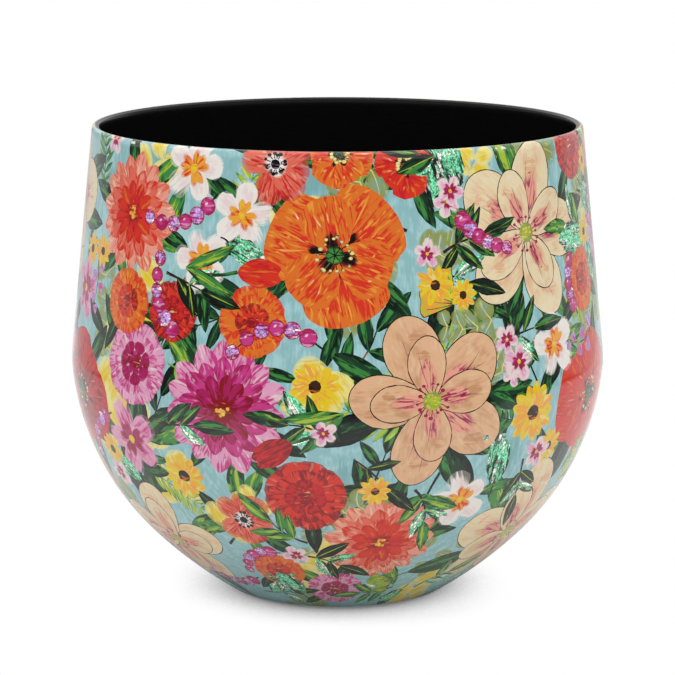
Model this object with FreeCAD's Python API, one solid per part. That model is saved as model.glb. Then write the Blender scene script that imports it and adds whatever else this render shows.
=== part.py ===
import FreeCAD, Part
import math
import os
from collections import namedtuple

# A round cachepot with a steep upper wall, a tight shoulder and a deep bowl. The pot is
# cast in one piece. A printed paper skin under lacquer covers the outside, from the rim's
# crest round the heel to a ring under the foot. A black waterproof lining covers the
# inside and ends in a shallow rebate beside the print's edge. Four felt pads carry it all.
#
# Every piece but the pads is turned about Z. The Z axis is the pot's axis, and the surface
# that the pads stand on is at zero. Lengths are in millimetres and angles in degrees.

# The outside of the pot, measured from the flat under its foot
pot_height = 280.0
widest_diameter = 320.0
widest_height = 140.0
foot_diameter = 130.0
rim_inset = 14.0
shoulder_radius = 45.0
heel_radius = 6.0
rim_round = 2.4

# Where the bowl's two arcs meet the shoulder and the heel: the slope of the wall there,
# and the lower arc's tangent length as a share of the upper one's
shoulder_end_angle = 5.0
heel_end_angle = 57.3
lower_tangent_share = 0.536

# The wall, with its print and lining
wall_thickness = 5.0
floor_thickness = 8.0
floor_corner_radius = 18.0
least_rim_round = 0.5

# The black lining, and how far its edge lies under the rim's crest
lining_thickness = 0.8
lining_edge_drop = 0.2

# The printed paper with its lacquer, and how far it is turned in under the foot
print_thickness = 0.6
print_turned_under = 12.0

# The felt pads
pad_count = 4
first_pad_angle = 45.0
pad_diameter = 19.0
pad_stand = 2.0
pad_gap_to_print = 5.5

# An arc of the outside line, seen in the half plane of radius and height. Its angles are
# those of the outward normal: 0 is straight out, 90 is up and -90 is down.
Arc = namedtuple("Arc", "centre radius start stop")
down = -90.0
up = 90.0
half_turn = 180.0


def ahead(start, distance, angle):
    """The point that lies a distance from start in the direction of an angle."""
    turn = math.radians(angle)
    return (start[0] + distance * math.cos(turn), start[1] + distance * math.sin(turn))


def angle_to(start, end):
    """Direction in which end is seen from start."""
    return math.degrees(math.atan2(end[1] - start[1], end[0] - start[0]))


def in_model(point):
    """A place of the half plane as a point of the model, lifted by what the pads stand proud."""
    return FreeCAD.Vector(point[0], 0, point[1] + pad_stand)


def arc_edge(arc, depth):
    """Edge of an arc at a depth under the outside line."""
    middle = (arc.start + arc.stop) / 2
    points = [in_model(ahead(arc.centre, arc.radius - depth, angle)) for angle in (arc.start, middle, arc.stop)]
    return Part.Arc(*points).toShape()


def straight_edges(*points):
    """Straight edges from point to point."""
    corners = [in_model(point) for point in points]
    return [Part.LineSegment(a, b).toShape() for a, b in zip(corners, corners[1:]) if not a.isEqual(b, 0)]


def turned(edges):
    """Solid that a closed line of edges sweeps on its way round the pot's axis."""
    face = Part.Face(Part.Wire(Part.__sortEdges__(edges)))
    solid = face.revolve(FreeCAD.Vector(0, 0, 0), FreeCAD.Vector(0, 0, 1), 2 * half_turn)
    return solid


# The shoulder and the heel
widest_radius = widest_diameter / 2
foot_radius = foot_diameter / 2
shoulder_centre = (widest_radius - shoulder_radius, widest_height)
heel_centre = (foot_radius, heel_radius)

# The rim is rounded outside and inside, with a crest between the two rounds
outer_round = min(rim_round, wall_thickness - lining_thickness - least_rim_round)
inner_round = wall_thickness - outer_round
rim_centre = (widest_radius - rim_inset - outer_round, pot_height - outer_round)

# The upper wall is straight: it touches the shoulder's arc and the rim's outer round
span = math.dist(shoulder_centre, rim_centre)
tilt = math.degrees(math.acos((shoulder_radius - outer_round) / span))
wall_angle = angle_to(shoulder_centre, rim_centre) - tilt

# The inner round's centre is as deep in the wall as the outer one's, and lower than the
# crest by its own radius and the drop of the lining's edge
lining_top = pot_height - lining_edge_drop
centre_rise = lining_top - inner_round - rim_centre[1]
inner_rim_centre = (rim_centre[0] - centre_rise * math.tan(math.radians(wall_angle)), lining_top - inner_round)


def bowl_arcs():
    """The bowl's two arcs, lower one first, which join each other, the shoulder and the heel smoothly."""
    top = ahead(shoulder_centre, shoulder_radius, -shoulder_end_angle)
    bottom = ahead(heel_centre, heel_radius, -heel_end_angle)
    top_way = ahead((0, 0), 1, down - shoulder_end_angle)
    bottom_way = ahead((0, 0), 1, up - heel_end_angle)
    gap = (top[0] - bottom[0], top[1] - bottom[1])
    # Tangents of length t from the top and share * t from the bottom end t + share * t apart:
    # squared, that is a quadratic in t
    way = tuple(a - lower_tangent_share * b for a, b in zip(top_way, bottom_way))
    square = way[0] ** 2 + way[1] ** 2 - (1 + lower_tangent_share) ** 2
    linear = gap[0] * way[0] + gap[1] * way[1]
    constant = gap[0] ** 2 + gap[1] ** 2
    tangent = (-linear - math.sqrt(linear ** 2 - square * constant)) / square
    upper_corner = (top[0] + tangent * top_way[0], top[1] + tangent * top_way[1])
    lower_tangent = lower_tangent_share * tangent
    lower_corner = (bottom[0] + lower_tangent * bottom_way[0], bottom[1] + lower_tangent * bottom_way[1])
    join_angle = angle_to(lower_corner, upper_corner) + down
    upper_turn = math.radians(-shoulder_end_angle - join_angle)
    lower_turn = math.radians(join_angle + heel_end_angle)
    upper_radius = tangent / math.tan(upper_turn / 2)
    lower_radius = lower_tangent / math.tan(lower_turn / 2)
    upper_centre = ahead(top, -upper_radius, -shoulder_end_angle)
    lower_centre = ahead(bottom, -lower_radius, -heel_end_angle)
    lower = Arc(lower_centre, lower_radius, -heel_end_angle, join_angle)
    upper = Arc(upper_centre, upper_radius, join_angle, -shoulder_end_angle)
    return lower, upper


lower_bowl, upper_bowl = bowl_arcs()
shoulder = Arc(shoulder_centre, shoulder_radius, -shoulder_end_angle, wall_angle)
heel = Arc(heel_centre, heel_radius, down, -heel_end_angle)
outer_rim = Arc(rim_centre, outer_round, wall_angle, up)

# The inner round lies deeper than the outer round's radius, so it is beyond its own centre
# and is turned the other way: from the inner wall, over the top, to the crest
inner_rim = Arc(inner_rim_centre, outer_round, wall_angle, down)

# The corner between the inner wall and the floor, as its centre's outside line
corner_height = floor_thickness + floor_corner_radius
corner_reach = lower_bowl.radius - wall_thickness - floor_corner_radius
corner_angle = math.degrees(math.asin((corner_height - lower_bowl.centre[1]) / corner_reach))
corner_centre = ahead(lower_bowl.centre, corner_reach, corner_angle)
floor_corner = Arc(corner_centre, floor_corner_radius + wall_thickness, down, corner_angle)


def wall_edges(first, rim, depth):
    """Edges at a depth under the outside: first arc, bowl, shoulder, upper wall and rim round."""
    bowl_start = lower_bowl._replace(start=first.stop)
    curves = [arc_edge(arc, depth) for arc in (first, bowl_start, upper_bowl, shoulder, rim)]
    foot_of_wall = ahead(shoulder.centre, shoulder.radius - depth, wall_angle)
    top_of_wall = ahead(rim.centre, outer_round - depth, wall_angle)
    return curves + straight_edges(foot_of_wall, top_of_wall)


crest_radius = rim_centre[0]
lining_crest_radius = inner_rim_centre[0]
lining_bed = lining_top - lining_thickness
lining_depth = wall_thickness - lining_thickness
floor_bed = floor_thickness - lining_thickness


def pot_body():
    """The cast pot, under its print and behind its lining."""
    edges = wall_edges(heel, outer_rim, print_thickness)
    edges += wall_edges(floor_corner, inner_rim, lining_depth)
    edges += straight_edges(
        (crest_radius, pot_height - print_thickness),
        (crest_radius, lining_bed),
        (lining_crest_radius, lining_bed),
    )
    edges += straight_edges(
        (corner_centre[0], floor_bed),
        (0, floor_bed),
        (0, print_thickness),
        (foot_radius, print_thickness),
    )
    return turned(edges)


def inner_lining():
    """The black lining on the inner wall and floor, up to its edge in the rim's rebate."""
    edges = wall_edges(floor_corner, inner_rim, wall_thickness)
    edges += wall_edges(floor_corner, inner_rim, lining_depth)
    edges += straight_edges(
        (lining_crest_radius, lining_top),
        (crest_radius, lining_top),
        (crest_radius, lining_bed),
        (lining_crest_radius, lining_bed),
    )
    edges += straight_edges(
        (corner_centre[0], floor_thickness),
        (0, floor_thickness),
        (0, floor_bed),
        (corner_centre[0], floor_bed),
    )
    return turned(edges)


def print_wrap():
    """The printed paper skin, from the crest round the outside to its ring under the foot."""
    ring_radius = foot_radius - print_turned_under
    edges = wall_edges(heel, outer_rim, 0)
    edges += wall_edges(heel, outer_rim, print_thickness)
    edges += straight_edges((crest_radius, pot_height), (crest_radius, pot_height - print_thickness))
    edges += straight_edges(
        (foot_radius, 0),
        (ring_radius, 0),
        (ring_radius, print_thickness),
        (foot_radius, print_thickness),
    )
    return turned(edges)


def foot_pad(number):
    """A felt pad on the pot's bare base, inside the ring of turned-under print."""
    pad_radius = pad_diameter / 2
    circle_radius = foot_radius - print_turned_under - pad_gap_to_print - pad_radius
    place = ahead((0, 0), circle_radius, first_pad_angle + number * 2 * half_turn / pad_count)
    height = pad_stand + print_thickness
    return Part.makeCylinder(pad_radius, height, FreeCAD.Vector(place[0], place[1], 0))


def main():
    pieces = {"pot_body": pot_body(), "inner_lining": inner_lining(), "print_wrap": print_wrap()}
    for number in range(pad_count):
        pieces[f"foot_pad_{number + 1}"] = foot_pad(number)
    os.makedirs("parts", exist_ok=True)
    for name, shape in pieces.items():
        shape.exportStep(f"parts/{name}.step")
        box = shape.BoundBox
        print(name, shape.isValid(), len(shape.Solids), round(shape.Volume), round(box.ZMin, 3), round(box.ZMax, 3))
    print("bowl radii", round(upper_bowl.radius, 1), round(lower_bowl.radius, 1), "join", round(lower_bowl.stop, 1))


main()
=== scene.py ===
import cmath
import math
import random
from collections import namedtuple

import bpy
import numpy as np
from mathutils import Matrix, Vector
from mathutils.bvhtree import BVHTree
from mathutils.geometry import delaunay_2d_cdt


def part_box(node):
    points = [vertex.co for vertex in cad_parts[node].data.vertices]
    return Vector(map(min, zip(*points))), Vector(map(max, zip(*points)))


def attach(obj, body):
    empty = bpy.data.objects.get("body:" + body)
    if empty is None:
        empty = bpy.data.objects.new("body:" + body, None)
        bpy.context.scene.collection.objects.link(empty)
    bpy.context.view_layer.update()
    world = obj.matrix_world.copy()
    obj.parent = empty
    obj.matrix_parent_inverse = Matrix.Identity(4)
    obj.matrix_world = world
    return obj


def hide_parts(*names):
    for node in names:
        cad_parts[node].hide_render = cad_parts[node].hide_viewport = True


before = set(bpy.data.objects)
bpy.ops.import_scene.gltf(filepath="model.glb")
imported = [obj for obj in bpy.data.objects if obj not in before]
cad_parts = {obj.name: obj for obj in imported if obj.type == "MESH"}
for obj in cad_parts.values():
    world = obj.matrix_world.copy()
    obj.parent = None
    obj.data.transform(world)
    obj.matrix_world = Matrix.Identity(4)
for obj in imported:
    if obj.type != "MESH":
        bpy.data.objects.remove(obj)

bl_info = {
    "name": "Printed cachepot",
    "version": (1, 0, 0),
    "blender": (4, 5, 0),
    "location": "3D View > Sidebar > Cachepot",
    "description": "Dresses a cachepot in its lacquered paper print, black lining and felt pads",
    "category": "Object",
}

# The pot is drawn in millimetres and goes into the meshes in metres. A place in its half
# plane is a complex number: the real part is the radius, the imaginary part the height.
MM = 0.001
FULL_TURN = 2 * math.pi
QUARTER = math.pi / 2
SAME_PLACE = 1e-6
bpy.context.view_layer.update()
WRAP_LOW, WRAP_HIGH = (tuple(corner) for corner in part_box("print_wrap"))

# Millimetres between the points of the paper's line, of a painted outline and of the lining's line
PAPER_STEP = 0.25
OUTLINE_STEP = 2.5
LINING_STEP = 3.0

# The lining: steps round the axis, millimetres at which its points merge, and the least crease in degrees
LINING_TURNS = 180
MERGED = 0.01
LEAST_CREASE = 35

# The felt pads: corners round the edge, the share of the thickness that is rounded, the rings inset into
# each face as shares of the radius, and how far at most a point lies inwards, to the sides and up
PAD_CORNERS = 64
PAD_ROUND = 0.2
PAD_RINGS = (0.12, 0.2, 0.3)
PAD_FUZZ = (0.015, 0.04)

# The paper's plain grid: columns of its painted and its glued side, millimetres between rows on the
# straight wall, how far the wall may bend from row to row, and millimetres of the step below the bead
PAINTED_COLUMNS = 168
GLUED_COLUMNS = 120
WIDEST_ROW = 6.0
ROW_BEND = 0.16
BEAD_STEP = 0.7

# Outer radius of the flat ring that the paper is laid out to, and how far a point has to lie beside the
# straight way past it, as a share of its distance from the ring's middle, so that it stays in a cut.
# Points that are closer to each other than the last length become one.
RING_RADIUS = 1000.0
CUT_SHARE = 0.0007
CUT_MERGED = 1e-4

# What the print's mesh holds for each corner of a triangle, once for the top patch and once for the one
# under it: where the corner lies in the stroke, how the patch is shaped and brushed, and its three paints
BRUSH_PARTS = ("stroke", "form", "brush")
PAINT_PARTS = ("body", "shade", "light")
# Marks of the brush: length and width in millimetres, and detail
BRUSH_MARKS = {"bristle": (15.0, 1.5, 2.5), "dab": (8.0, 2.2, 1.5), "blot": (10.0, 8.0, 2.0)}

# The print's layout: the seed of its random draws, the length down the outside that it reaches to, the
# broad marks of its ground, the runs of black paint round its rim, and the tries for each scattered motif
PRINT_SEED = 11
LAYOUT_END = 300
GROUND_MARKS = 90
RIM_RUNS = 30
TRIES_EACH = 40

# Rows of large blossoms: millimetres down from the crest, first place as a share of the gap, and kinds
LARGE_ROWS = (
    (50.0, 0.0, ("poppy", "magnolia", "dahlia", "magnolia", "poppy", "anemone", "magnolia", "coral dahlia")),
    (148.0, 0.5, ("magnolia", "poppy", "anemone", "magnolia", "coral dahlia", "magnolia", "poppy", "dahlia")),
    (243.0, 0.1, ("coral dahlia", "magnolia", "poppy", "dahlia", "magnolia", "poppy", "magnolia")),
)
LARGE_REACH = {"magnolia": 52.0, "poppy": 41.0, "dahlia": 37.0, "coral dahlia": 35.0, "anemone": 36.0}

# Middling blossoms, in the order in which they find a place between the large ones, how far they reach,
# and how deep they may lie over others: on the first try, and how much deeper on the last
MIDDLING = (
    "orange pompon", "pink cosmos", "rudbeckia", "orange pompon", "white cosmos", "red pompon",
    "small anemone", "pink pompon", "pink cosmos", "small poppy", "white cosmos",
)
MIDDLING_REACH = (17, 25)
MIDDLING_DEPTH = (5, 14)
MIDDLING_COUNT = 58
MIDDLING_TRIES = 6000

# Leaves under a blossom: how many, and their least and greatest length as a share of its reach
LARGE_LEAVES = (5, 0.62, 0.85)
MIDDLING_LEAVES = (3, 1.0, 1.3)

# Paints of a patch: the colour of its body, of its shaded parts and of its light dabs
GREEN = ("leaf", "bottle", "lime")
DARK_LEAVES = (
    ("forest", "black", "bottle"),
    ("bottle", "forest", "leaf"),
    GREEN,
    ("forest", "bottle", "leaf"),
)
SOFT_LEAVES = (("sage", "olive", "lemon"), ("olive", "sage", "lemon"), ("lemon", "yellow", "amber"))
FERNS = (GREEN, ("lime", "leaf", "lemon"))
FANS = (("lime", "leaf", "yellow"), ("amber", "lime", "yellow"))
GROUNDS = (("ground_pale", "ground", "ground_pale"), ("ground_deep", "ground", "ground_pale"))
WARM = (
    ("red", "wine", "scarlet"),
    ("scarlet", "red", "orange"),
    ("orange", "scarlet", "amber"),
    ("coral", "red", "salmon"),
)
PALE = (("cream", "peach", "white"), ("peach", "tan", "cream"), ("cream", "peach", "lemon"))
SUNNY = ("yellow", "amber", "lemon")
PINK = ("pink", "fuchsia", "blush")
PLUM = ("magenta", "wine", "fuchsia")
PINK_RINGS = (PINK, ("fuchsia", "magenta", "pink"), PLUM)
CORAL_RINGS = (("salmon", "coral", "cream"), ("coral", "scarlet", "salmon"), ("scarlet", "red", "orange"))

# The floor as gloss sees it, in metres: the middle of its bright part lies behind the pot's axis. The
# bright part, by the distance from its middle, and the dimmer one, by the distance behind the axis, each
# have a place where they start and one where they are full, and their light outside and inside
BRIGHT_BEHIND = 0.4
BRIGHT_EDGE = (0.95, 0.72, 0.05, 0.95)
DIMMER_EDGE = (0.3, 0.7, 0.0, 0.7)
# How far the pot shades the floor, in metres, the open shares of its sky where the shade is full and where
# it ends, and how bright the full shade is
SHADE_REACH = 0.08
SHADE = (0.02, 0.34, 0.15)
# Light of the tent near the floor and overhead
SKY = (0.46, 1.24)
# The softbox: its place and size in metres, and its watts
SOFTBOX_PLACE = (0.1, -0.5, 1.9)
SOFTBOX_SIZE = (1.6, 1.2)
SOFTBOX_POWER = 8.3


def from_hex(code):
    """Linear colour of an sRGB hex value."""
    channels = [int(code[i:i + 2], 16) / 255 for i in (1, 3, 5)]
    return [c / 12.92 if c <= 0.04045 else ((c + 0.055) / 1.055) ** 2.4 for c in channels]


def size(words, millimetres):
    """A length that the user may change."""
    return bpy.props.FloatProperty(
        name=words, description=words + " of the real pot", default=millimetres * MM, min=0.0, unit="LENGTH"
    )


def slope(words, degrees):
    """An angle that the user may change."""
    return bpy.props.FloatProperty(
        name=words, description=words, default=math.radians(degrees), subtype="ANGLE"
    )


def ink(words, code):
    """A colour that the user may change."""
    return bpy.props.FloatVectorProperty(
        name=words, description=words + ", as it looks in even light", default=from_hex(code), subtype="COLOR"
    )


class PotSizes(bpy.types.PropertyGroup):
    """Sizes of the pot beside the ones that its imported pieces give"""

    widest_height: size("Height of the widest place", 140)
    rim_inset: size("Inset of the rim", 14)
    shoulder_radius: size("Radius of the shoulder", 45)
    heel_radius: size("Radius of the heel", 6)
    rim_round: size("Rounding of the rim", 2.4)
    foot_radius: size("Radius of the foot", 65)
    turned_under: size("Print turned in under the foot", 12)
    print_thickness: size("Thickness of the print", 0.6)
    wall: size("Thickness of the wall", 5)
    floor: size("Thickness of the floor", 8)
    floor_corner: size("Inner corner above the floor", 18)
    lining: size("Thickness of the lining", 0.8)
    lining_drop: size("Drop of the lining's edge under the crest", 0.2)
    shoulder_end: slope("Slope where the bowl leaves the shoulder", 5)
    heel_end: slope("Slope where the bowl meets the heel", 57.3)
    bead: size("Width of the lacquer's bead under the rim", 1.6)
    bead_lean: slope("Slope of the lacquer's bead beyond the wall's", 5)
    lower_share: bpy.props.FloatProperty(
        name="Lower tangent share", description="The bowl's lower tangent over its upper one", default=0.536
    )


class PrintInks(bpy.types.PropertyGroup):
    """Colours of the paper print"""

    ground: ink("Turquoise ground", "#8FBDC0")
    ground_pale: ink("Pale brushmarks of the ground", "#A9D3D6")
    ground_deep: ink("Deep brushmarks of the ground", "#7DAFB2")
    black: ink("Outline black", "#0D0E0A")
    forest: ink("Forest green", "#0C1E15")
    bottle: ink("Bottle green", "#193E27")
    leaf: ink("Leaf green", "#3F8A40")
    lime: ink("Lime green", "#A6C23C")
    sage: ink("Sage green", "#86A287")
    olive: ink("Olive green", "#8F9A52")
    mint: ink("Mint green", "#6FC79A")
    wine: ink("Wine red", "#8A1420")
    red: ink("Red", "#C81E22")
    scarlet: ink("Scarlet", "#D83220")
    orange: ink("Orange", "#DF7226")
    amber: ink("Amber", "#EDA23C")
    coral: ink("Coral", "#E26B55")
    salmon: ink("Salmon", "#EBA08C")
    pink: ink("Pink", "#E2A0C0")
    fuchsia: ink("Fuchsia", "#C83C86")
    magenta: ink("Magenta", "#A81E5A")
    lilac: ink("Lilac", "#B48CC8")
    blush: ink("Blush white", "#EAD6D4")
    white: ink("White", "#EEEAE2")
    cream: ink("Cream", "#EAD8B0")
    peach: ink("Peach", "#E2B48C")
    tan: ink("Tan", "#C8946C")
    yellow: ink("Yellow", "#E6C824")
    lemon: ink("Lemon", "#EBE08A")
    brown: ink("Twig brown", "#3E2418")


class CoatLook(bpy.types.PropertyGroup):
    """Colours under and inside the print"""

    lining: ink("Black lining", "#131313")
    biscuit: ink("Unglazed body", "#D9CFBF")
    felt: ink("Felt pads", "#4A4540")


class StageLook(bpy.types.PropertyGroup):
    """The studio"""

    floor: ink("Floor", "#E8E8E8")
    camera_distance: size("Camera in front of the pot", 1700)
    camera_height: size("Height of the camera", 474.85)
    camera_tilt: slope("Camera looks down by", 10.7694)
    lens: bpy.props.FloatProperty(name="Lens", description="Focal length in millimetres", default=152.84)


# The pot's lines

Arc = namedtuple("Arc", "centre radius start stop")


def in_mm(length):
    """Millimetres of a length in metres."""
    return length / MM


def bowl_arcs(shoulder, heel, lower_share):
    """The bowl's two arcs, upper one first, which join each other, the shoulder and the heel smoothly."""
    top = shoulder.centre + cmath.rect(shoulder.radius, shoulder.stop)
    bottom = heel.centre + cmath.rect(heel.radius, heel.start)
    top_way = cmath.rect(1, shoulder.stop - QUARTER)
    bottom_way = cmath.rect(1, heel.start + QUARTER)
    way = top_way - lower_share * bottom_way
    square = abs(way) ** 2 - (1 + lower_share) ** 2
    linear = ((top - bottom) * way.conjugate()).real
    tangent = (-linear - math.sqrt(linear ** 2 - square * abs(top - bottom) ** 2)) / square
    upper_corner = top + tangent * top_way
    lower_corner = bottom + lower_share * tangent * bottom_way
    join = cmath.phase(upper_corner - lower_corner) - QUARTER
    upper_radius = tangent / math.tan((shoulder.stop - join) / 2)
    lower_radius = lower_share * tangent / math.tan((join - heel.start) / 2)
    upper = Arc(top - cmath.rect(upper_radius, shoulder.stop), upper_radius, shoulder.stop, join)
    lower = Arc(bottom - cmath.rect(lower_radius, heel.start), lower_radius, join, heel.start)
    return upper, lower


def pot_arcs(sizes):
    """Arcs of the outside from the rim's crest down to the heel, and of the inside down to its floor."""
    widest = in_mm(WRAP_HIGH[0])
    top = in_mm(WRAP_HIGH[2] - WRAP_LOW[2])
    wall = in_mm(sizes.wall)
    rim_radius = in_mm(sizes.rim_round)
    shoulder_radius = in_mm(sizes.shoulder_radius)
    heel_radius = in_mm(sizes.heel_radius)
    shoulder_centre = complex(widest - shoulder_radius, in_mm(sizes.widest_height))
    rim_centre = complex(widest - in_mm(sizes.rim_inset) - rim_radius, top - rim_radius)
    between = rim_centre - shoulder_centre
    wall_angle = cmath.phase(between) - math.acos((shoulder_radius - rim_radius) / abs(between))
    rim = Arc(rim_centre, rim_radius, QUARTER, wall_angle)
    shoulder = Arc(shoulder_centre, shoulder_radius, wall_angle, -sizes.shoulder_end)
    heel = Arc(complex(in_mm(sizes.foot_radius), heel_radius), heel_radius, -sizes.heel_end, -QUARTER)
    upper, lower = bowl_arcs(shoulder, heel, sizes.lower_share)
    # The inner round lies beyond its centre, so it runs from straight down to the wall's angle
    inner_centre = complex(0, top - in_mm(sizes.lining_drop) - (wall - rim_radius))
    inner_centre += rim_centre.real - (inner_centre.imag - rim_centre.imag) * math.tan(wall_angle)
    inner_rim = Arc(inner_centre, rim_radius, -QUARTER, wall_angle)
    corner = in_mm(sizes.floor_corner)
    corner_reach = lower.radius - wall - corner
    corner_height = in_mm(sizes.floor) + corner
    corner_angle = math.asin((corner_height - lower.centre.imag) / corner_reach)
    corner_centre = lower.centre + cmath.rect(corner_reach, corner_angle)
    floor_corner = Arc(corner_centre, corner + wall, corner_angle, -QUARTER)
    outside = (rim, shoulder, upper, lower, heel)
    inside = (inner_rim, shoulder, upper, lower._replace(stop=corner_angle), floor_corner)
    return outside, inside


def straight(start, end, step):
    """Places between the ends of a straight run, both ends left out."""
    count = math.ceil(abs(end - start) / step)
    return [start + (end - start) * i / count for i in range(1, count)]


def traced(arcs, depth, step):
    """Places along a chain of arcs and the straight runs between them, with their outward angles."""
    places, angles = [], []
    for arc in arcs:
        radius = arc.radius - depth
        count = max(2, math.ceil(abs((arc.stop - arc.start) * radius) / step))
        turns = [arc.start + (arc.stop - arc.start) * i / count for i in range(count + 1)]
        curve = [arc.centre + cmath.rect(radius, turn) for turn in turns]
        if places:
            run = straight(places[-1], curve[0], step)
            places += run
            angles += [arc.start] * len(run)
            if abs(places[-1] - curve[0]) < SAME_PLACE:
                del curve[0], turns[0]
        places += curve
        angles += turns
    return places, angles


class Paper:
    """The printed paper: turn round the pot from its front, and length from the crest down the outside."""

    def __init__(self, sizes, arcs):
        places, angles = traced(arcs, 0.0, PAPER_STEP)
        ring_end = complex(in_mm(sizes.foot_radius - sizes.turned_under), places[-1].imag)
        places += straight(places[-1], ring_end, PAPER_STEP) + [ring_end]
        angles += [-QUARTER] * (len(places) - len(angles))
        line = np.array(places)
        steps = np.abs(np.diff(line))
        self.radius = line.real
        self.height = line.imag
        self.length = np.concatenate([[0], np.cumsum(steps)])
        # The lacquer's bead under the rim leans in a little more than the wall and ends in a soft step
        rim = arcs[0]
        bead_end = rim.radius * (rim.start - rim.stop) + in_mm(sizes.bead)
        self.bead = (bead_end, bead_end + BEAD_STEP)
        leaning = rim.stop + np.interp(self.length, self.bead, (sizes.bead_lean, 0.0))
        angles = np.array(angles)
        self.angle = np.where(self.length < self.bead[1], np.maximum(angles, leaning), angles)
        # Length over radius, which turns the paper into a flat ring without changing its angles
        self.squeeze = np.concatenate([[0], np.cumsum(2 * steps / (self.radius[1:] + self.radius[:-1]))])
        self.end = self.length[-1]
        self.lift = in_mm(WRAP_LOW[2])

    def radius_at(self, length):
        """Radius of the outside at a length."""
        return float(np.interp(length, self.length, self.radius))

    def flattened(self, turn, length):
        """Place on the flat ring, whose outer edge is the crest and whose inner edge lies under the foot."""
        over = np.maximum(length - self.end, 0) / self.radius[-1] + np.minimum(length, 0) / self.radius[0]
        reach = RING_RADIUS * np.exp(-np.interp(length, self.length, self.squeeze) - over)
        return reach * np.cos(turn), reach * np.sin(turn)

    def read_back(self, across, up):
        """Turn and length of places on the flat ring."""
        squeeze = np.log(RING_RADIUS / np.hypot(across, up))
        return np.arctan2(up, across), np.interp(squeeze, self.squeeze, self.length)

    def on_pot(self, turn, length, depth):
        """Places on the pot in metres, and the way that the surface faces there."""
        radius = np.interp(length, self.length, self.radius)
        height = np.interp(length, self.length, self.height) + self.lift
        angle = np.interp(length, self.length, self.angle)
        round_way = np.stack([np.sin(turn), -np.cos(turn)], axis=-1)
        facing = np.concatenate([round_way * np.cos(angle)[:, None], np.sin(angle)[:, None]], axis=-1)
        places = np.concatenate([round_way * radius[:, None], height[:, None]], axis=-1)
        return (places - depth * facing) * MM, facing


# The print's brushwork

Patch = namedtuple("Patch", "outline spot start way reach brush soft paints seed")
GROUND = Patch(
    outline=[], spot=(0.0, 0.0, 1.0), start=0j, way=1 + 0j, reach=(1e9, 1e9), brush=(0.3, 0.0, 0.0),
    soft=0.0, paints=("ground", "ground_pale", "ground_deep"), seed=0.0,
)


def toward(angle):
    """One millimetre in a direction."""
    return cmath.rect(1, angle)


def bow(start, end, sag, count):
    """Points along a shallow bow from start to end."""
    way = end - start
    side = way * 1j
    shares = [i / count for i in range(count + 1)]
    return [start + way * t + side * sag * 4 * t * (1 - t) for t in shares]


class Canvas:
    """The print as a stack of painted patches, lowest first. A motif is drawn in millimetres round its
    spot, as complex numbers: the real part runs round the pot and the imaginary part up it."""

    def __init__(self, paper, seed):
        self.paper = paper
        self.dice = random.Random(seed)
        self.patches = []
        self.taken = []

    def settle(self, turn, length):
        """Moves to the spot that the next motif is drawn round. Towards the foot, motifs narrow a little."""
        widest = float(self.paper.radius.max())
        self.spot = (turn, length, (self.paper.radius_at(length) + widest) / 2)

    def nearby(self, turn, length, reach):
        """How deep a motif of that reach would lie in the ones that have a place already."""
        deepest = -reach
        radius = self.paper.radius_at(length)
        for other_turn, other_length, other_reach in self.taken:
            away = (turn - other_turn + math.pi) % FULL_TURN - math.pi
            gap = math.hypot(away * radius, length - other_length) - other_reach
            deepest = max(deepest, reach - gap)
        return deepest

    def paint(self, outline, start, way, reach, paints, streak=0.6, rim=0.4, glitter=0.0, soft=0.0):
        """Adds a patch. Its brushwork runs from start in a way, and reaches so far along and across it."""
        turn, length, radius = self.spot
        places = [(turn + p.real / radius, length - p.imag) for p in outline]
        seed = self.dice.uniform(0, 400)
        brush = (streak, rim, glitter)
        self.patches.append(Patch(places, self.spot, start, way / abs(way), reach, brush, soft, paints, seed))

    def petal(
        self, start, angle, length, width, paints, belly, blunt, bend=0.0, wobble=0.25, edge=0.0, **brush
    ):
        """A petal or leaf from its foot: belly is where it's widest, and a lower blunt gives a rounder
        end."""
        if edge:
            outer = (start - edge * toward(angle), angle, length + 2 * edge, width + 2 * edge)
            self.petal(*outer, ("black", "black", "brown"), belly, blunt, bend, wobble / 2)
        power = math.log(0.5) / math.log(belly)
        count = max(5, round(length / OUTLINE_STEP) + 1)
        left, right = [], []
        for i in range(1, count):
            share = (1 - math.cos(math.pi * i / count)) / 2
            half = width / 2 * math.sin(math.pi * share ** power) ** blunt
            middle = complex(share * length, bend * share ** 2)
            left.append(middle + 1j * (half + self.dice.uniform(-wobble, wobble)))
            right.append(middle - 1j * (half + self.dice.uniform(-wobble, wobble)))
        outline = [0j] + right + [complex(length, bend)] + left[::-1]
        way = toward(angle)
        self.paint([start + p * way for p in outline], start, way, (length, width / 2), paints, **brush)

    def blob(self, centre, radius, paints, angle=0.0, flat=1.0, wobble=0.05, **brush):
        """A round or oval patch."""
        way = toward(angle)
        count = max(8, round(FULL_TURN * radius / OUTLINE_STEP))
        outline = []
        for i in range(count):
            reach = radius * (1 + self.dice.uniform(-wobble, wobble))
            round_way = toward(FULL_TURN * i / count)
            outline.append(centre + complex(reach * round_way.real, reach * flat * round_way.imag) * way)
        self.paint(outline, centre - radius * way, way, (2 * radius, radius * flat), paints, **brush)

    def stroke(self, points, widths, paints, **brush):
        """A brush line along points, with its width at the start, in the middle and at the end."""
        left, right = [], []
        last = len(points) - 1
        for i, point in enumerate(points):
            way = points[min(i + 1, last)] - points[max(i - 1, 0)]
            share = 2 * i / last
            half = (widths[0] + (widths[1] - widths[0]) * share) / 2
            if share > 1:
                half = (widths[1] + (widths[2] - widths[1]) * (share - 1)) / 2
            side = 1j * way / abs(way) * half
            left.append(point + side)
            right.append(point - side)
        way = points[-1] - points[0]
        self.paint(right + left[::-1], points[0], way, (abs(way), max(widths) / 2), paints, **brush)


# Leaves and twigs. A motif is drawn round its spot, which is the place 0.

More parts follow.
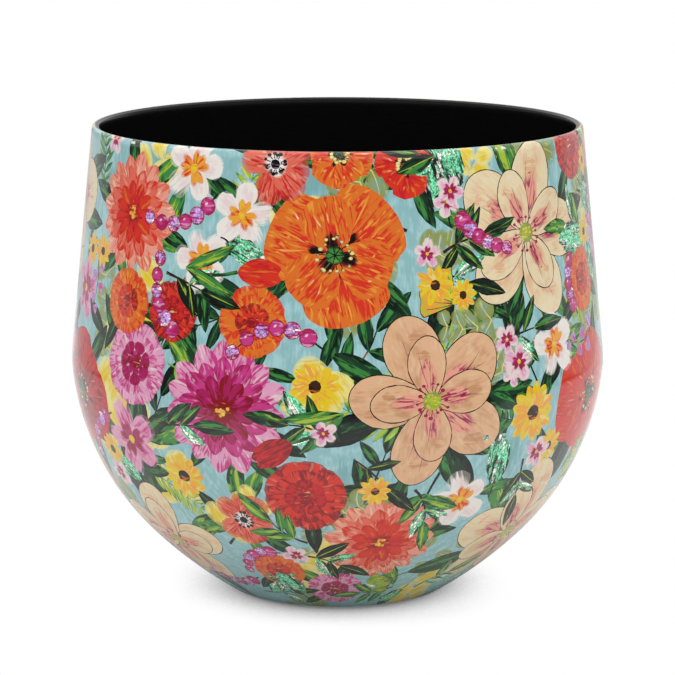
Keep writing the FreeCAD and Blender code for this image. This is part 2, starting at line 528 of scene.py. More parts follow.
def stem(canvas, angle, length, sag, count, widths, paints, **brush):
    """A bowed stem that starts at the spot. Gives the points along it."""
    points = bow(0j, length * toward(angle), sag, count)
    canvas.stroke(points, widths, paints, **brush)
    return points


def pointed_leaf(canvas, start, angle, length, width, paints, vein="leaf", glitter=0.0):
    """A pointed leaf with a dark edge, one lighter half and a midrib."""
    dice = canvas.dice
    bend = dice.uniform(-0.12, 0.12) * length
    way = toward(angle)
    canvas.petal(
        start, angle, length, width, paints,
        belly=0.46, blunt=0.85, bend=bend, streak=0.9, rim=0.7, glitter=glitter,
    )
    side = dice.choice((1, -1))
    inner = start + way * complex(0.1 * length, side * 0.04 * width)
    canvas.petal(
        inner, angle + side * 0.1 * width / length, length * 0.78, width * 0.36, (paints[2], paints[0], vein),
        belly=0.45, blunt=0.8, bend=bend * 0.7 + side * width * 0.1,
        streak=1.0, rim=0.5, soft=0.8, glitter=glitter,
    )
    tip = start + way * complex(length * 0.96, bend * 0.92)
    points = bow(start, tip, -bend / length / 4, max(4, round(length / 5)))
    canvas.stroke(points, (0.9, 0.6, 0.3), (vein, paints[0], vein), streak=0.2)


def glitter_leaf(canvas, angle, length):
    """A broad leaf strewn with mint glitter, ragged where the glitter missed the glue."""
    dice = canvas.dice
    width = length * dice.uniform(0.48, 0.58)
    canvas.stroke(bow(-6 * toward(angle), 0j, 0.1, 3), (0.8, 1.0, 1.2), ("forest", "black", "leaf"))
    canvas.petal(
        0j, angle, length, width, ("mint", "forest", "white"), belly=0.5, blunt=0.7,
        bend=dice.uniform(-0.1, 0.1) * length, wobble=0.9, streak=0.9, rim=0.4, glitter=1.0,
    )
    for _ in range(5):
        place = length * dice.uniform(0.1, 1.05) * toward(angle + dice.uniform(-0.45, 0.45))
        canvas.blob(place, dice.uniform(1.2, 2.4), ("mint", "bottle", "white"), wobble=0.3, glitter=1.0)


def twig_of_leaves(canvas, angle, length, leaf_length, paints, vein="leaf", glitter_chance=0.0):
    """A bowed twig with two leaves on each side and one at its end."""
    dice = canvas.dice
    pairs = 2
    sag = dice.uniform(-0.16, 0.16)
    count = max(6, round(length / 5))
    points = stem(canvas, angle, length, sag, count, (1.9, 1.3, 0.8), ("brown", "black", "tan"), streak=0.5)
    for i in range(pairs):
        share = (i + 0.7) / (pairs + 0.3)
        place = points[min(count - 1, round(share * count))]
        for side in (1, -1):
            if dice.random() < 0.12:
                continue
            reach = leaf_length * (1 - 0.25 * share) * dice.uniform(0.8, 1.1)
            turn = angle + side * dice.uniform(0.6, 1.05)
            glitter = 1.0 if dice.random() < glitter_chance else 0.0
            shades = ("mint", "bottle", "white") if glitter else paints
            pointed_leaf(canvas, place, turn, reach, reach * dice.uniform(0.3, 0.4), shades, vein, glitter)
    pointed_leaf(canvas, points[-1], angle - sag, leaf_length, leaf_length * 0.34, paints, vein)


def round_leaves(canvas, angle, length, leaf_size, paints):
    """A soft sprig of round leaves in pairs, as a pale wash."""
    dice = canvas.dice
    sag = dice.uniform(-0.15, 0.15)
    points = stem(canvas, angle, length, sag, 8, (1.2, 0.9, 0.6), ("olive", "sage", "lemon"), soft=0.4)
    for i in range(1, len(points), 2):
        reach = leaf_size * (1.1 - 0.06 * i)
        for side in (1, -1):
            turn = angle + side * dice.uniform(0.8, 1.3)
            canvas.petal(
                points[i], turn, reach, reach * dice.uniform(0.72, 0.9), paints,
                belly=0.55, blunt=0.5, streak=0.3, rim=-0.8, soft=0.45,
            )
            vein = bow(points[i], points[i] + toward(turn) * reach * 0.8, 0.05, 4)
            canvas.stroke(vein, (0.8, 0.5, 0.3), ("lemon", "lemon", "white"), soft=0.3)


def fern(canvas, angle, length, paints):
    """A fern frond of small leaflets."""
    sag = canvas.dice.uniform(-0.2, 0.2)
    points = stem(canvas, angle, length, sag, max(6, round(length / 5)), (1.1, 0.8, 0.4), paints, streak=0.2)
    for i, point in enumerate(points[1:]):
        share = i / len(points)
        way = cmath.phase(points[i + 1] - points[i])
        reach = length * 0.3 * (math.sin(math.pi * (0.2 + 0.75 * share)) + 0.1)
        for side in (1, -1):
            canvas.petal(
                point, way + side * 0.95, reach, 3.4, paints, belly=0.45, blunt=0.75, wobble=0.15, rim=0.5
            )


def fan_leaf(canvas, angle, radius, paints):
    """A fan-shaped leaf with a notch, a stalk and fine dark ribs."""
    dice = canvas.dice
    spread = dice.uniform(0.85, 1.05)
    outline = [0j]
    count = max(10, round(2 * spread * radius / OUTLINE_STEP))
    for i in range(count + 1):
        share = 2 * i / count - 1
        notch = 0.5 * math.exp(-(share / 0.1) ** 2)
        ripple = 0.04 * math.sin(9 * share + dice.uniform(-0.4, 0.4))
        outline.append(radius * (1 - notch + ripple - 0.1 * share ** 2) * toward(angle + spread * share))
    way = toward(angle)
    dark = [p * 1.04 - way * 0.6 for p in outline]
    canvas.paint(dark, 0j, way, (radius, radius), ("black", "brown", "black"), streak=0.2)
    canvas.paint(outline, 0j, way, (radius * 1.1, radius), paints, streak=1.2, rim=0.6)
    for share in (-0.8, -0.5, -0.2, 0.2, 0.5, 0.8):
        tip = radius * 0.8 * toward(angle + spread * share)
        canvas.stroke(bow(0j, tip, 0.04 * share, 4), (0.9, 0.5, 0.3), ("olive", "bottle", "leaf"), streak=0.3)
    canvas.stroke(bow(0j, -way * radius * 0.6, 0.12, 5), (1.4, 1.1, 0.9), ("olive", "bottle", "lime"))


# Blossoms

def stamens(canvas, inner, outer, count, thread, head):
    """Fine threads round a flower's heart, each with a dot at its end."""
    dice = canvas.dice
    for i in range(count):
        angle = FULL_TURN * (i + dice.uniform(-0.3, 0.3)) / count
        end = outer * dice.uniform(0.8, 1.1) * toward(angle + dice.uniform(-0.1, 0.1))
        points = bow(inner * toward(angle), end, dice.uniform(-0.1, 0.1), 2)
        canvas.stroke(points, (0.7, 0.5, 0.5), (thread, thread, head), streak=0.1)
        canvas.blob(end, dice.uniform(0.9, 1.5), (head, thread, "white"), flat=0.8, streak=0.3)


def folds(canvas, angle, inner, outer, spread, count, paints, width):
    """Thin brush lines that follow a petal from its foot outwards."""
    dice = canvas.dice
    for i in range(count):
        turn = angle + spread * (2 * (i + 0.5) / count - 1) * dice.uniform(0.7, 1.0)
        start = inner * dice.uniform(0.8, 1.3) * toward(turn)
        end = outer * dice.uniform(0.7, 1.0) * toward(turn + (turn - angle) * 0.25)
        points = bow(start, end, dice.uniform(-0.06, 0.06), max(3, round(abs(end - start) / 6)))
        canvas.stroke(points, (0.3, width, 0.3), paints, streak=0.5, soft=0.5)


def poppy(canvas, radius, paints):
    """Broad ruffled petals in two rings, dark blotches and a ribbed pod."""
    dice = canvas.dice
    first = dice.uniform(0, FULL_TURN)
    for ring, (reach, wide) in enumerate(((1.0, 1.22), (0.84, 1.0))):
        for i in range(3):
            angle = first + (i + ring / 2) * FULL_TURN / 3 + dice.uniform(-0.12, 0.12)
            length = radius * reach * dice.uniform(0.93, 1.05)
            canvas.petal(
                0j, angle, length, length * wide, paints,
                belly=0.64, blunt=0.42, wobble=0.9, streak=1.2, rim=-0.7,
            )
            folds(canvas, angle, radius * 0.3, length * 0.92, 0.42, 4, (paints[1], paints[1], paints[0]), 1.3)
            folds(canvas, angle, radius * 0.5, length * 0.95, 0.5, 3, (paints[2], paints[2], "white"), 1.5)
            canvas.petal(
                0j, angle, length * 0.42, length * 0.3, ("black", "wine", "black"),
                belly=0.6, blunt=0.6, streak=1.2, soft=0.9,
            )
    stamens(canvas, radius * 0.1, radius * 0.24, 18, "black", "lemon")
    canvas.blob(0j, radius * 0.13, ("leaf", "forest", "lime"), streak=0.3, rim=0.8)
    for i in range(7):
        way = toward(FULL_TURN * i / 7)
        canvas.stroke([0j, way * radius * 0.06, way * radius * 0.12], (0.7, 0.6, 0.4), ("forest",) * 3)


def dahlia(canvas, radius, rings):
    """Rings of narrow pointed petals, each ring with its own paints."""
    dice = canvas.dice
    first = dice.uniform(0, 1)
    canvas.blob(0j, radius * 0.5, (rings[-1][1], "wine", rings[-1][0]), streak=0.8)
    for ring, paints in enumerate(rings):
        reach = radius * (1 - 0.23 * ring)
        count = 15 - 2 * ring
        foot = reach * 0.3
        for i in range(count):
            angle = first + (i + ring / 2) * FULL_TURN / count + dice.uniform(-0.05, 0.05)
            length = (reach - foot) * dice.uniform(0.92, 1.06)
            canvas.petal(
                foot * toward(angle), angle, length, length * 0.5 + 1.5, paints,
                belly=0.58, blunt=0.72, streak=1.0, rim=0.75,
            )
    canvas.blob(0j, radius * 0.15, (rings[-1][1], "wine", "amber"), streak=0.8, wobble=0.15)
    for i in range(9):
        place = radius * dice.uniform(0.02, 0.11) * toward(dice.uniform(0, FULL_TURN))
        canvas.blob(place, 1.1, ("amber", "yellow", "lemon"))


def magnolia(canvas, radius, paints, throat):
    """Large pale petals with thin dark outlines, a flushed throat and a cone ringed by stamens."""
    dice = canvas.dice
    first = dice.uniform(0, FULL_TURN)
    for ring, (count, reach, wide) in enumerate(((5, 1.0, 0.66), (4, 0.74, 0.6))):
        for i in range(count):
            angle = first + (i + ring * 0.45) * FULL_TURN / count + dice.uniform(-0.08, 0.08)
            length = radius * reach * dice.uniform(0.94, 1.05)
            width = length * wide * dice.uniform(0.92, 1.06)
            bend = dice.uniform(-0.08, 0.08) * length
            canvas.petal(
                0j, angle, length, width, paints,
                belly=0.6, blunt=0.5, bend=bend, wobble=0.2, edge=0.55, streak=0.25, rim=-0.35,
            )
            canvas.petal(
                0.12 * length * toward(angle), angle, length * 0.55, width * 0.5, throat,
                belly=0.45, blunt=0.7, bend=bend * 0.4, streak=1.4, rim=0.5, soft=1.0,
            )
            flush = length * 0.72 * toward(angle + dice.uniform(-0.2, 0.2))
            canvas.blob(flush, width * 0.2, (paints[1], paints[0], "salmon"), flat=0.7, soft=1.0, rim=-0.2)
            folds(canvas, angle, length * 0.25, length * 0.85, 0.2, 2, ("tan", "brown", "tan"), 0.7)
    stamens(canvas, radius * 0.08, radius * 0.19, 16, "wine", "magenta")
    canvas.blob(0j, radius * 0.11, ("lime", "olive", "lemon"), streak=0.6, rim=0.7)
    for i in range(8):
        place = radius * dice.uniform(0.02, 0.08) * toward(FULL_TURN * i / 8)
        canvas.blob(place, 1.0, ("yellow", "olive", "lemon"))


def anemone(canvas, radius, paints, count=8):
    """Round overlapping petals, a pale ring and a dark button in a ring of dots."""
    dice = canvas.dice
    first = dice.uniform(0, FULL_TURN)
    for i in range(count):
        angle = first + i * 2.4
        length = radius * dice.uniform(0.9, 1.06)
        canvas.petal(
            0j, angle, length, length * 0.78, paints,
            belly=0.62, blunt=0.45, wobble=0.5, streak=0.9, rim=0.5, soft=0.35,
        )
        folds(canvas, angle, radius * 0.3, length * 0.9, 0.28, 3, (paints[1], paints[1], paints[0]), 1.2)
    canvas.blob(0j, radius * 0.32, ("white", "blush", "white"), soft=0.9, wobble=0.12)
    stamens(canvas, radius * 0.14, radius * 0.27, 14, "black", "black")
    canvas.blob(0j, radius * 0.13, ("black", "forest", "lilac"), streak=0.7)


def pompon(canvas, radius, paints, core):
    """A globe of short round petals in closing rings."""
    dice = canvas.dice
    first = dice.uniform(0, 1)
    canvas.blob(0j, radius * 0.94, paints, streak=0.8, rim=0.8)
    for ring in range(4):
        reach = radius * (1 - 0.24 * ring)
        count = 9 - ring
        for i in range(count):
            angle = first + (i + ring / 2) * FULL_TURN / count + dice.uniform(-0.08, 0.08)
            canvas.petal(
                reach * 0.42 * toward(angle), angle, reach * 0.6, reach * 0.78, paints if ring < 2 else core,
                belly=0.62, blunt=0.4, wobble=0.3, streak=1.0, rim=0.9, soft=0.15,
            )
    canvas.blob(0j, radius * 0.2, (core[1], core[0], "lemon"), streak=0.8)
    for i in range(3):
        curl = bow(2.2 * toward(i * 2.1), 2.2 * toward(i * 2.1 + 1.8), -0.3, 4)
        canvas.stroke(curl, (0.5, 1.1, 0.5), (core[0], "wine", core[2]))


def cosmos(canvas, radius, paints, eye):
    """Soft watery petals round a small eye."""
    dice = canvas.dice
    first = dice.uniform(0, FULL_TURN)
    for i in range(9):
        length = radius * dice.uniform(0.82, 1.08)
        canvas.petal(
            0j, first + i * 2.5, length, length * 0.74, paints,
            belly=0.66, blunt=0.42, wobble=0.7, streak=0.6, rim=-0.5, soft=0.8,
        )
    for i in range(8):
        canvas.petal(
            0j, first + i * 2.3, radius * 0.5, radius * 0.26, eye,
            belly=0.6, blunt=0.6, wobble=0.4, streak=1.4, rim=0.4, soft=0.7,
        )
    canvas.blob(0j, radius * 0.12, SUNNY, wobble=0.2)


def rudbeckia(canvas, radius, paints, count=13):
    """Narrow yellow rays and a domed dark heart."""
    dice = canvas.dice
    for i in range(count):
        angle = FULL_TURN * i / count + dice.uniform(-0.08, 0.08)
        length = radius * dice.uniform(0.88, 1.05)
        canvas.petal(
            0j, angle, length, radius * 0.42, paints, belly=0.6, blunt=0.62, streak=1.0, rim=-0.6, wobble=0.2
        )
    canvas.blob(0j, radius * 0.26, ("brown", "black", "orange"), streak=0.8, wobble=0.08)


def tulip(canvas, angle, length, paints):
    """A cup of three petals on a curved stem with two long leaves."""
    foot = -toward(angle) * length * 1.3
    canvas.stroke(bow(foot, 0j, canvas.dice.uniform(-0.1, 0.1), 6), (1.6, 1.8, 2.2), GREEN)
    for side in (1, -1):
        pointed_leaf(canvas, foot, angle + side * 0.35, length * 1.35, length * 0.3, GREEN, "lime")
    for side in (1, -1):
        canvas.petal(
            0j, angle + side * 0.2, length, length * 0.46, paints,
            belly=0.5, blunt=0.62, bend=-side * length * 0.08, streak=1.1, rim=0.6,
        )
    canvas.petal(0j, angle, length * 0.94, length * 0.48, paints, belly=0.48, blunt=0.6, streak=1.2, rim=0.7)
    folds(canvas, angle, length * 0.2, length * 0.85, 0.14, 3, (paints[1], paints[1], paints[2]), 1.0)


def berry_sprig(canvas, angle, length, paints):
    """A bowed string of round berries, every other one strewn with glitter."""
    dice = canvas.dice
    sag = dice.uniform(0.1, 0.28) * dice.choice((1, -1))
    points = stem(canvas, angle, length, sag, 6, (1.2, 1.0, 0.7), ("bottle", "forest", "leaf"))
    for i, point in enumerate(points[1:]):
        glitter = 1.0 if i % 2 else 0.0
        shades = ("lilac", paints[1], "white") if glitter else paints
        reach = 4.6 * (1.1 - 0.05 * i) * dice.uniform(0.92, 1.05)
        canvas.blob(point, reach + 0.45, ("wine", "magenta", "wine"), wobble=0.02)
        canvas.blob(point, reach, shades, streak=0.9, rim=0.8, glitter=glitter)
        if not glitter:
            shine = point + reach * 0.35 * toward(2.2)
            canvas.blob(shine, reach * 0.26, ("blush", "pink", "white"), flat=0.6, angle=0.7, soft=0.5)


def bells(canvas, angle, length, paints):
    """A stem of small hanging bells."""
    points = stem(canvas, angle, length, canvas.dice.uniform(0.1, 0.22), 6, (1.2, 1.0, 0.6), GREEN)
    for i, point in enumerate(points[1:]):
        turn = angle + (1.15 if i % 2 else -1.15)
        reach = length * 0.24 * (1.15 - 0.1 * i)
        for lean in (-0.32, 0.32, 0.0):
            canvas.petal(
                point, turn + lean, reach, reach * 0.46, paints, belly=0.66, blunt=0.6, wobble=0.15, rim=-0.6
            )


# The layout of the print

# How a kind of blossom is drawn: its function, the share of the reach that it fills, the paints that it
# may have, and what else its function takes
BLOSSOMS = {
    "magnolia": (magnolia, 1.0, PALE, ("salmon", "magenta", "peach")),
    "poppy": (poppy, 1.0, WARM[:3]),
    "dahlia": (dahlia, 1.0, (PINK_RINGS,)),
    "coral dahlia": (dahlia, 1.0, (CORAL_RINGS,)),
    "anemone": (anemone, 1.0, (("salmon", "coral", "white"), ("blush", "pink", "white"))),
    "orange pompon": (pompon, 1.0, (("orange", "scarlet", "amber"),), ("scarlet", "wine", "orange")),
    "red pompon": (pompon, 1.0, (("scarlet", "wine", "coral"),), ("red", "wine", "scarlet")),
    "pink pompon": (pompon, 1.0, (PINK,), PLUM),
    "pink cosmos": (cosmos, 1.0, (PINK,), PLUM),
    "white cosmos": (cosmos, 1.0, (("white", "blush", "white"),), ("amber", "scarlet", "yellow")),
    "small poppy": (poppy, 1.0, WARM),
    "rudbeckia": (rudbeckia, 0.8, (SUNNY,)),
    "small anemone": (anemone, 1.0, (("coral", "red", "salmon"),), 7),
}


def paint_blossoms(canvas, blossoms):
    """Draws each blossom at its spot."""
    for kind, (turn, length, reach) in blossoms:
        draw, share, choices, *rest = BLOSSOMS[kind]
        canvas.settle(turn, length)
        paints = canvas.dice.choice(choices) if len(choices) > 1 else choices[0]
        draw(canvas, reach * share, paints, *rest)


def lay_out(canvas):
    """Chooses a spot for each large and middling blossom. The chosen spots don't crowd each other."""
    dice = canvas.dice
    large, middling = [], []
    for length, shift, kinds in LARGE_ROWS:
        for i, kind in enumerate(kinds):
            turn = (i + shift + dice.uniform(-0.12, 0.12)) * FULL_TURN / len(kinds)
            reach = LARGE_REACH[kind] * dice.uniform(0.92, 1.06)
            spot = (turn % FULL_TURN, length + dice.uniform(-9, 9), reach)
            canvas.taken.append(spot)
            large.append((kind, spot))
    for tries in range(1, MIDDLING_TRIES + 1):
        reach = dice.uniform(*MIDDLING_REACH)
        turn, length = dice.uniform(0, FULL_TURN), dice.uniform(2, LAYOUT_END)
        allowed = MIDDLING_DEPTH[0] + MIDDLING_DEPTH[1] * tries / MIDDLING_TRIES
        if canvas.nearby(turn, length, reach) < allowed:
            canvas.taken.append((turn, length, reach))
            middling.append((MIDDLING[len(middling) % len(MIDDLING)], (turn, length, reach)))
        if len(middling) == MIDDLING_COUNT:
            break
    return large, middling


def brush_ground(canvas):
    """Broad pale and deep brushmarks over the ground."""
    dice = canvas.dice
    for _ in range(GROUND_MARKS):
        canvas.settle(dice.uniform(0, FULL_TURN), dice.uniform(0, canvas.paper.end))
        paints = dice.choice(GROUNDS)
        reach = dice.uniform(30, 70)
        canvas.petal(
            -0.5j * reach, QUARTER, reach, dice.uniform(14, 30), paints,
            belly=0.5, blunt=0.4, wobble=1, streak=0.3, soft=1.0,
        )


def scatter(canvas, count, clear, reach, draw):
    """Draws a motif all over the print, where one of that reach lies no deeper over a blossom than clear."""
    dice = canvas.dice
    done = tries = 0
    while done < count and tries < TRIES_EACH * count:
        tries += 1
        turn, length = dice.uniform(0, FULL_TURN), dice.uniform(0, LAYOUT_END)
        if canvas.nearby(turn, length, reach) <= clear:
            canvas.settle(turn, length)
            draw(dice.uniform(0, FULL_TURN))
            done += 1


def paint_leaves(canvas, blossoms):
    """A ring of leaves under each blossom."""
    dice = canvas.dice
    for _, (turn, length, reach) in blossoms:
        canvas.settle(turn, length)
        leaves, least, most = MIDDLING_LEAVES if reach <= MIDDLING_REACH[1] else LARGE_LEAVES
        first = dice.uniform(0, FULL_TURN)
        for i in range(leaves):
            angle = first + i * FULL_TURN / leaves + dice.uniform(-0.35, 0.35)
            paints = dice.choice(DARK_LEAVES)
            start = 0.55 * reach * toward(angle)
            leaf_length = dice.uniform(least, most) * reach
            turn = angle + dice.uniform(-0.3, 0.3)
            pointed_leaf(canvas, start, turn, leaf_length + 6, leaf_length * 0.42, paints)


def paint_print(canvas):
    """The whole print, from the ground to the last small flower."""
    some = canvas.dice.uniform
    pick = canvas.dice.choice
    large, middling = lay_out(canvas)
    brush_ground(canvas)
    # What the blossoms may cover lies anywhere
    for count, draw in (
        (46, lambda a: round_leaves(canvas, a, some(45, 70), some(17, 25), pick(SOFT_LEAVES))),
        (40, lambda a: twig_of_leaves(canvas, a, some(35, 55), 30, pick(DARK_LEAVES))),
        (26, lambda a: fern(canvas, a, some(38, 55), pick(FERNS))),
    ):
        scatter(canvas, count, math.inf, 0, draw)
    paint_leaves(canvas, large + middling)
    scatter(
        canvas, 30, 16, 12, lambda a: round_leaves(canvas, a, some(30, 45), some(14, 20), pick(SOFT_LEAVES))
    )
    paint_blossoms(canvas, large + middling)
    # Of each motif between them: how many, how deep it may lie over a blossom, and its own reach
    for count, clear, reach, draw in (
        (34, 4, 8, lambda a: twig_of_leaves(canvas, a, 26, 27, pick(DARK_LEAVES), "lime", 0.3)),
        (26, 10, 8, lambda a: berry_sprig(canvas, a, some(38, 58), ("fuchsia", "magenta", "pink"))),
        (20, 12, 10, lambda a: glitter_leaf(canvas, a, some(26, 36))),
        (16, 4, 8, lambda a: fan_leaf(canvas, a, some(19, 26), pick(FANS))),
        (12, 4, 8, lambda a: tulip(canvas, a, 26, pick(WARM))),
        (14, 4, 8, lambda a: bells(canvas, a, 40, ("lilac", "fuchsia", "blush"))),
        (24, 4, 8, lambda a: rudbeckia(canvas, some(8, 12), SUNNY, 10)),
        (30, 4, 8, lambda a: cosmos(canvas, some(8, 12), ("blush", "pink", "white"), PLUM)),
    ):
        scatter(canvas, count, clear, reach, draw)
    paint_rim_edge(canvas)


def paint_rim_edge(canvas):
    """The lining's black paint laps a little over the print's edge on the crest."""
    dice = canvas.dice
    for i in range(RIM_RUNS):
        canvas.settle(FULL_TURN * i / RIM_RUNS, 0.0)
        reach = 0.52 * FULL_TURN / RIM_RUNS * canvas.spot[2]
        outline = [complex(reach * (2 * j / 12 - 1), -dice.uniform(0.1, 0.65)) for j in range(13)]
        outline += [complex(reach, 3), complex(-reach, 3)]
        canvas.paint(outline, -reach + 0j, 1 + 0j, (2 * reach, 1), ("lining",) * 3)


# From brushwork to mesh

def counter_clockwise(points):
    """The same outline, turned so that its inside is on its left."""
    area = sum(a.x * b.y - b.x * a.y for a, b in zip(points, points[1:] + points[:1]))
    return points if area > 0 else points[::-1]


def grid_rows(paper):
    """Lengths of the plain rows of points: close on the rim's round and the heel, wider on the wall."""
    bend = np.abs(np.gradient(paper.angle, paper.length))
    spacing = np.minimum(WIDEST_ROW, ROW_BEND / np.maximum(bend, 1e-6))
    count = np.concatenate([[0], np.cumsum(np.diff(paper.length) / spacing[1:])])
    rows = max(2, round(count[-1]))
    return np.interp(np.linspace(0, count[-1], rows + 1), count, paper.length)


def ring_points(paper, length, columns):
    """Points of one row on the flat ring."""
    turns = np.arange(columns) * FULL_TURN / columns
    across, up = paper.flattened(turns, np.full(columns, length))
    return [Vector(point) for point in zip(across, up)]


def cut_paper(paper, patches):
    """Triangles of the print with the top and second patch on each. The paper is cut along every outline
    first, and then once more along those of them that show."""
    columns = PAINTED_COLUMNS
    rows = grid_rows(paper)
    rims = ring_points(paper, 0.0, columns) + ring_points(paper, paper.end, columns)
    outlines = [list(range(columns)), list(range(columns, 2 * columns))]
    points = list(rims)
    for patch in patches:
        turns, lengths = np.array(patch.outline).T
        across, up = paper.flattened(turns, lengths)
        start = len(points)
        points += counter_clockwise([Vector(point) for point in zip(across, up)])
        outlines.append(list(range(start, len(points))))
    coords, _, faces, _, _, owners = delaunay_2d_cdt(points, [], outlines, 1, CUT_MERGED, True)
    flat = np.array([tuple(point) for point in coords])
    faces = np.array(faces)
    piles = [np.array([tuple(points[i]) for i in outline]) for outline in outlines]
    top, under = top_two(flat[faces], owners, piles)
    crisp = np.array([True, True] + [patch.soft == 0 for patch in patches])
    under[crisp[top]] = 0
    label = top * len(outlines) + under
    label[top < 0] = -1
    edges = straightened(flat, shown_cuts(faces, label))
    used, places = np.unique(edges, return_inverse=True)
    points = [Vector(point) for point in flat[used]]
    edges = [tuple(pair) for pair in places.reshape(-1, 2).tolist()]
    # Two lines from rim to foot, a quarter turn to either side, where the bake's two halves meet
    for turn in (columns // 4, 3 * columns // 4):
        line = []
        for row in rows:
            line.append(len(points))
            points.append(ring_points(paper, row, columns)[turn])
        edges += list(zip(line, line[1:]))
    # The step of the lacquer's bead, which has to stay sharp in the gloss
    for row in paper.bead:
        line = list(range(len(points), len(points) + columns))
        points += ring_points(paper, row, columns)
        edges += list(zip(line, line[1:] + line[:1]))
    for row in rows[1:-1]:
        points += ring_points(paper, row, columns)
    coords, _, cut_faces, _, _, _ = delaunay_2d_cdt(points, edges, [], 0, CUT_MERGED, False)
    cut = np.array([tuple(point) for point in coords])
    cut_faces = np.array(cut_faces)
    tree = BVHTree.FromPolygons(np.pad(flat, ((0, 0), (0, 1))).tolist(), faces.tolist())
    found = np.array([tree.find_nearest((x, y, 0))[2] for x, y in cut[cut_faces].mean(axis=1).tolist()])
    kept = label[found] >= 0
    return cut, cut_faces[kept], top[found[kept]], under[found[kept]]


def sides_of(triangles):
    """Pairs of points along the triangles' sides, the lower number first."""
    return np.sort(np.concatenate([triangles[:, pair] for pair in ((0, 1), (1, 2), (2, 0))]), axis=1)


def shown_cuts(faces, label):
    """Edges between triangles that look different."""
    sides = sides_of(faces)
    owner = np.tile(label, 3)
    order = np.lexsort((sides[:, 1], sides[:, 0]))
    sides, owner = sides[order], owner[order]
    same = (sides[1:] == sides[:-1]).all(axis=1)
    shown = np.flatnonzero(same & (owner[1:] != owner[:-1]))
    return sides[shown]


def straightened(points, edges):
    """The same cuts with fewer points: one on an unbranched stretch goes where the cut stays in place
    without it."""
    beside = {}
    for a, b in edges.tolist():
        beside.setdefault(a, []).append(b)
        beside.setdefault(b, []).append(a)
    places = (points[:, 0] + 1j * points[:, 1]).tolist()
    done = set()
    kept = []
    forks = [point for point in beside if len(beside[point]) != 2]
    for start in forks + list(beside):
        for onward in beside[start]:
            if (start, onward) in done:
                continue
            chain = [start, onward]
            while len(beside[chain[-1]]) == 2 and chain[-1] != start:
                a, b = beside[chain[-1]]
                chain.append(b if a == chain[-2] else a)
            done.update(zip(chain, chain[1:]))
            done.update(zip(chain[1:], chain))
            kept += needed(places, chain)
    return np.array(kept)


def needed(places, chain):
    """Edges of a chain of points, with the points left out that lie close to the straight way past them."""
    start, end = places[chain[0]], places[chain[-1]]
    way = end - start
    if len(chain) > 2 and chain[0] == chain[-1]:
        away = [abs(places[i] - start) for i in chain[1:-1]]
    else:
        way = way / max(abs(way), SAME_PLACE)
        away = [abs(((places[i] - start) * way.conjugate()).imag) for i in chain[1:-1]]
    if not away or (max(away) < CUT_SHARE * abs(start) and chain[0] != chain[-1]):
        return [(chain[0], chain[-1])]
    bend = away.index(max(away)) + 1
    return needed(places, chain[:bend + 1]) + needed(places, chain[bend:])


def top_two(corners, owners, outlines):
    """The two uppermost patches of each triangle, or -1 for a triangle outside the print. An outline that
    crosses itself may claim triangles that it doesn't hold, so one that claims too much is tested again."""
    triangle = np.repeat(np.arange(len(owners)), [len(found) for found in owners])
    owner = np.concatenate([np.array(found, int) for found in owners])
    side, other = corners[:, 1] - corners[:, 0], corners[:, 2] - corners[:, 0]
    area = np.abs(side[:, 0] * other[:, 1] - side[:, 1] * other[:, 0]) / 2
    claimed = np.bincount(owner, area[triangle], len(outlines))
    box = np.array([np.prod(np.ptp(outline, axis=0)) for outline in outlines])
    centres = corners.mean(axis=1)
    held = np.ones(len(owner), bool)
    for greedy in np.flatnonzero(claimed > box):
        mine = np.flatnonzero(owner == greedy)
        held[mine] = inside(centres[triangle[mine]], outlines[greedy])
    inner = triangle[owner == 1]
    printed = np.zeros(len(owners), bool)
    printed[triangle[owner == 0]] = True
    printed[inner] = False
    triangle, owner = triangle[held], owner[held]
    order = np.lexsort((owner, triangle))
    triangle, owner = triangle[order], owner[order]
    last = np.flatnonzero(np.diff(triangle, append=-1))
    top = np.full(len(owners), -1)
    top[triangle[last]] = owner[last]
    under = np.zeros(len(owners), int)
    deeper = last[(last > 0) & (triangle[last - 1] == triangle[last])]
    under[triangle[deeper]] = owner[deeper - 1]
    top[~printed] = -1
    return top, under


def inside(points, outline):
    """Which points an outline goes round."""
    ahead = np.roll(outline, -1, axis=0)
    x, y = points[:, 0:1], points[:, 1:2]
    spans = (outline[:, 1] > y) != (ahead[:, 1] > y)
    rise = np.where(ahead[:, 1] == outline[:, 1], 1.0, ahead[:, 1] - outline[:, 1])
    crossing = outline[:, 0] + (y - outline[:, 1]) * (ahead[:, 0] - outline[:, 0]) / rise
    return (spans & (x < crossing)).sum(axis=1) % 2 == 1


def border(triangles):
    """Points on the open edges of a sheet of triangles."""
    found, count = np.unique(sides_of(triangles), axis=0, return_counts=True)
    return np.unique(found[count == 1])


def sheet_on_pot(paper, flat, triangles, depth):
    """A sheet's turns, lengths and places on the pot, and its two open rims in the order of their turns."""
    turns, lengths = paper.read_back(flat[:, 0], flat[:, 1])
    open_points = border(triangles)
    at_crest = lengths[open_points] < paper.end / 2
    crest, ring = open_points[at_crest], open_points[~at_crest]
    lengths[crest] = 0.0
    lengths[ring] = paper.end
    places, facing = paper.on_pot(turns, lengths, depth)
    crest = crest[np.argsort(turns[crest])]
    ring = ring[np.argsort(turns[ring])]
    return turns, lengths, places, facing, (crest, ring)


def used_only(flat, triangles):
    """The same sheet without the points that no triangle uses."""
    used, places = np.unique(triangles, return_inverse=True)
    return flat[used], places.reshape(triangles.shape)


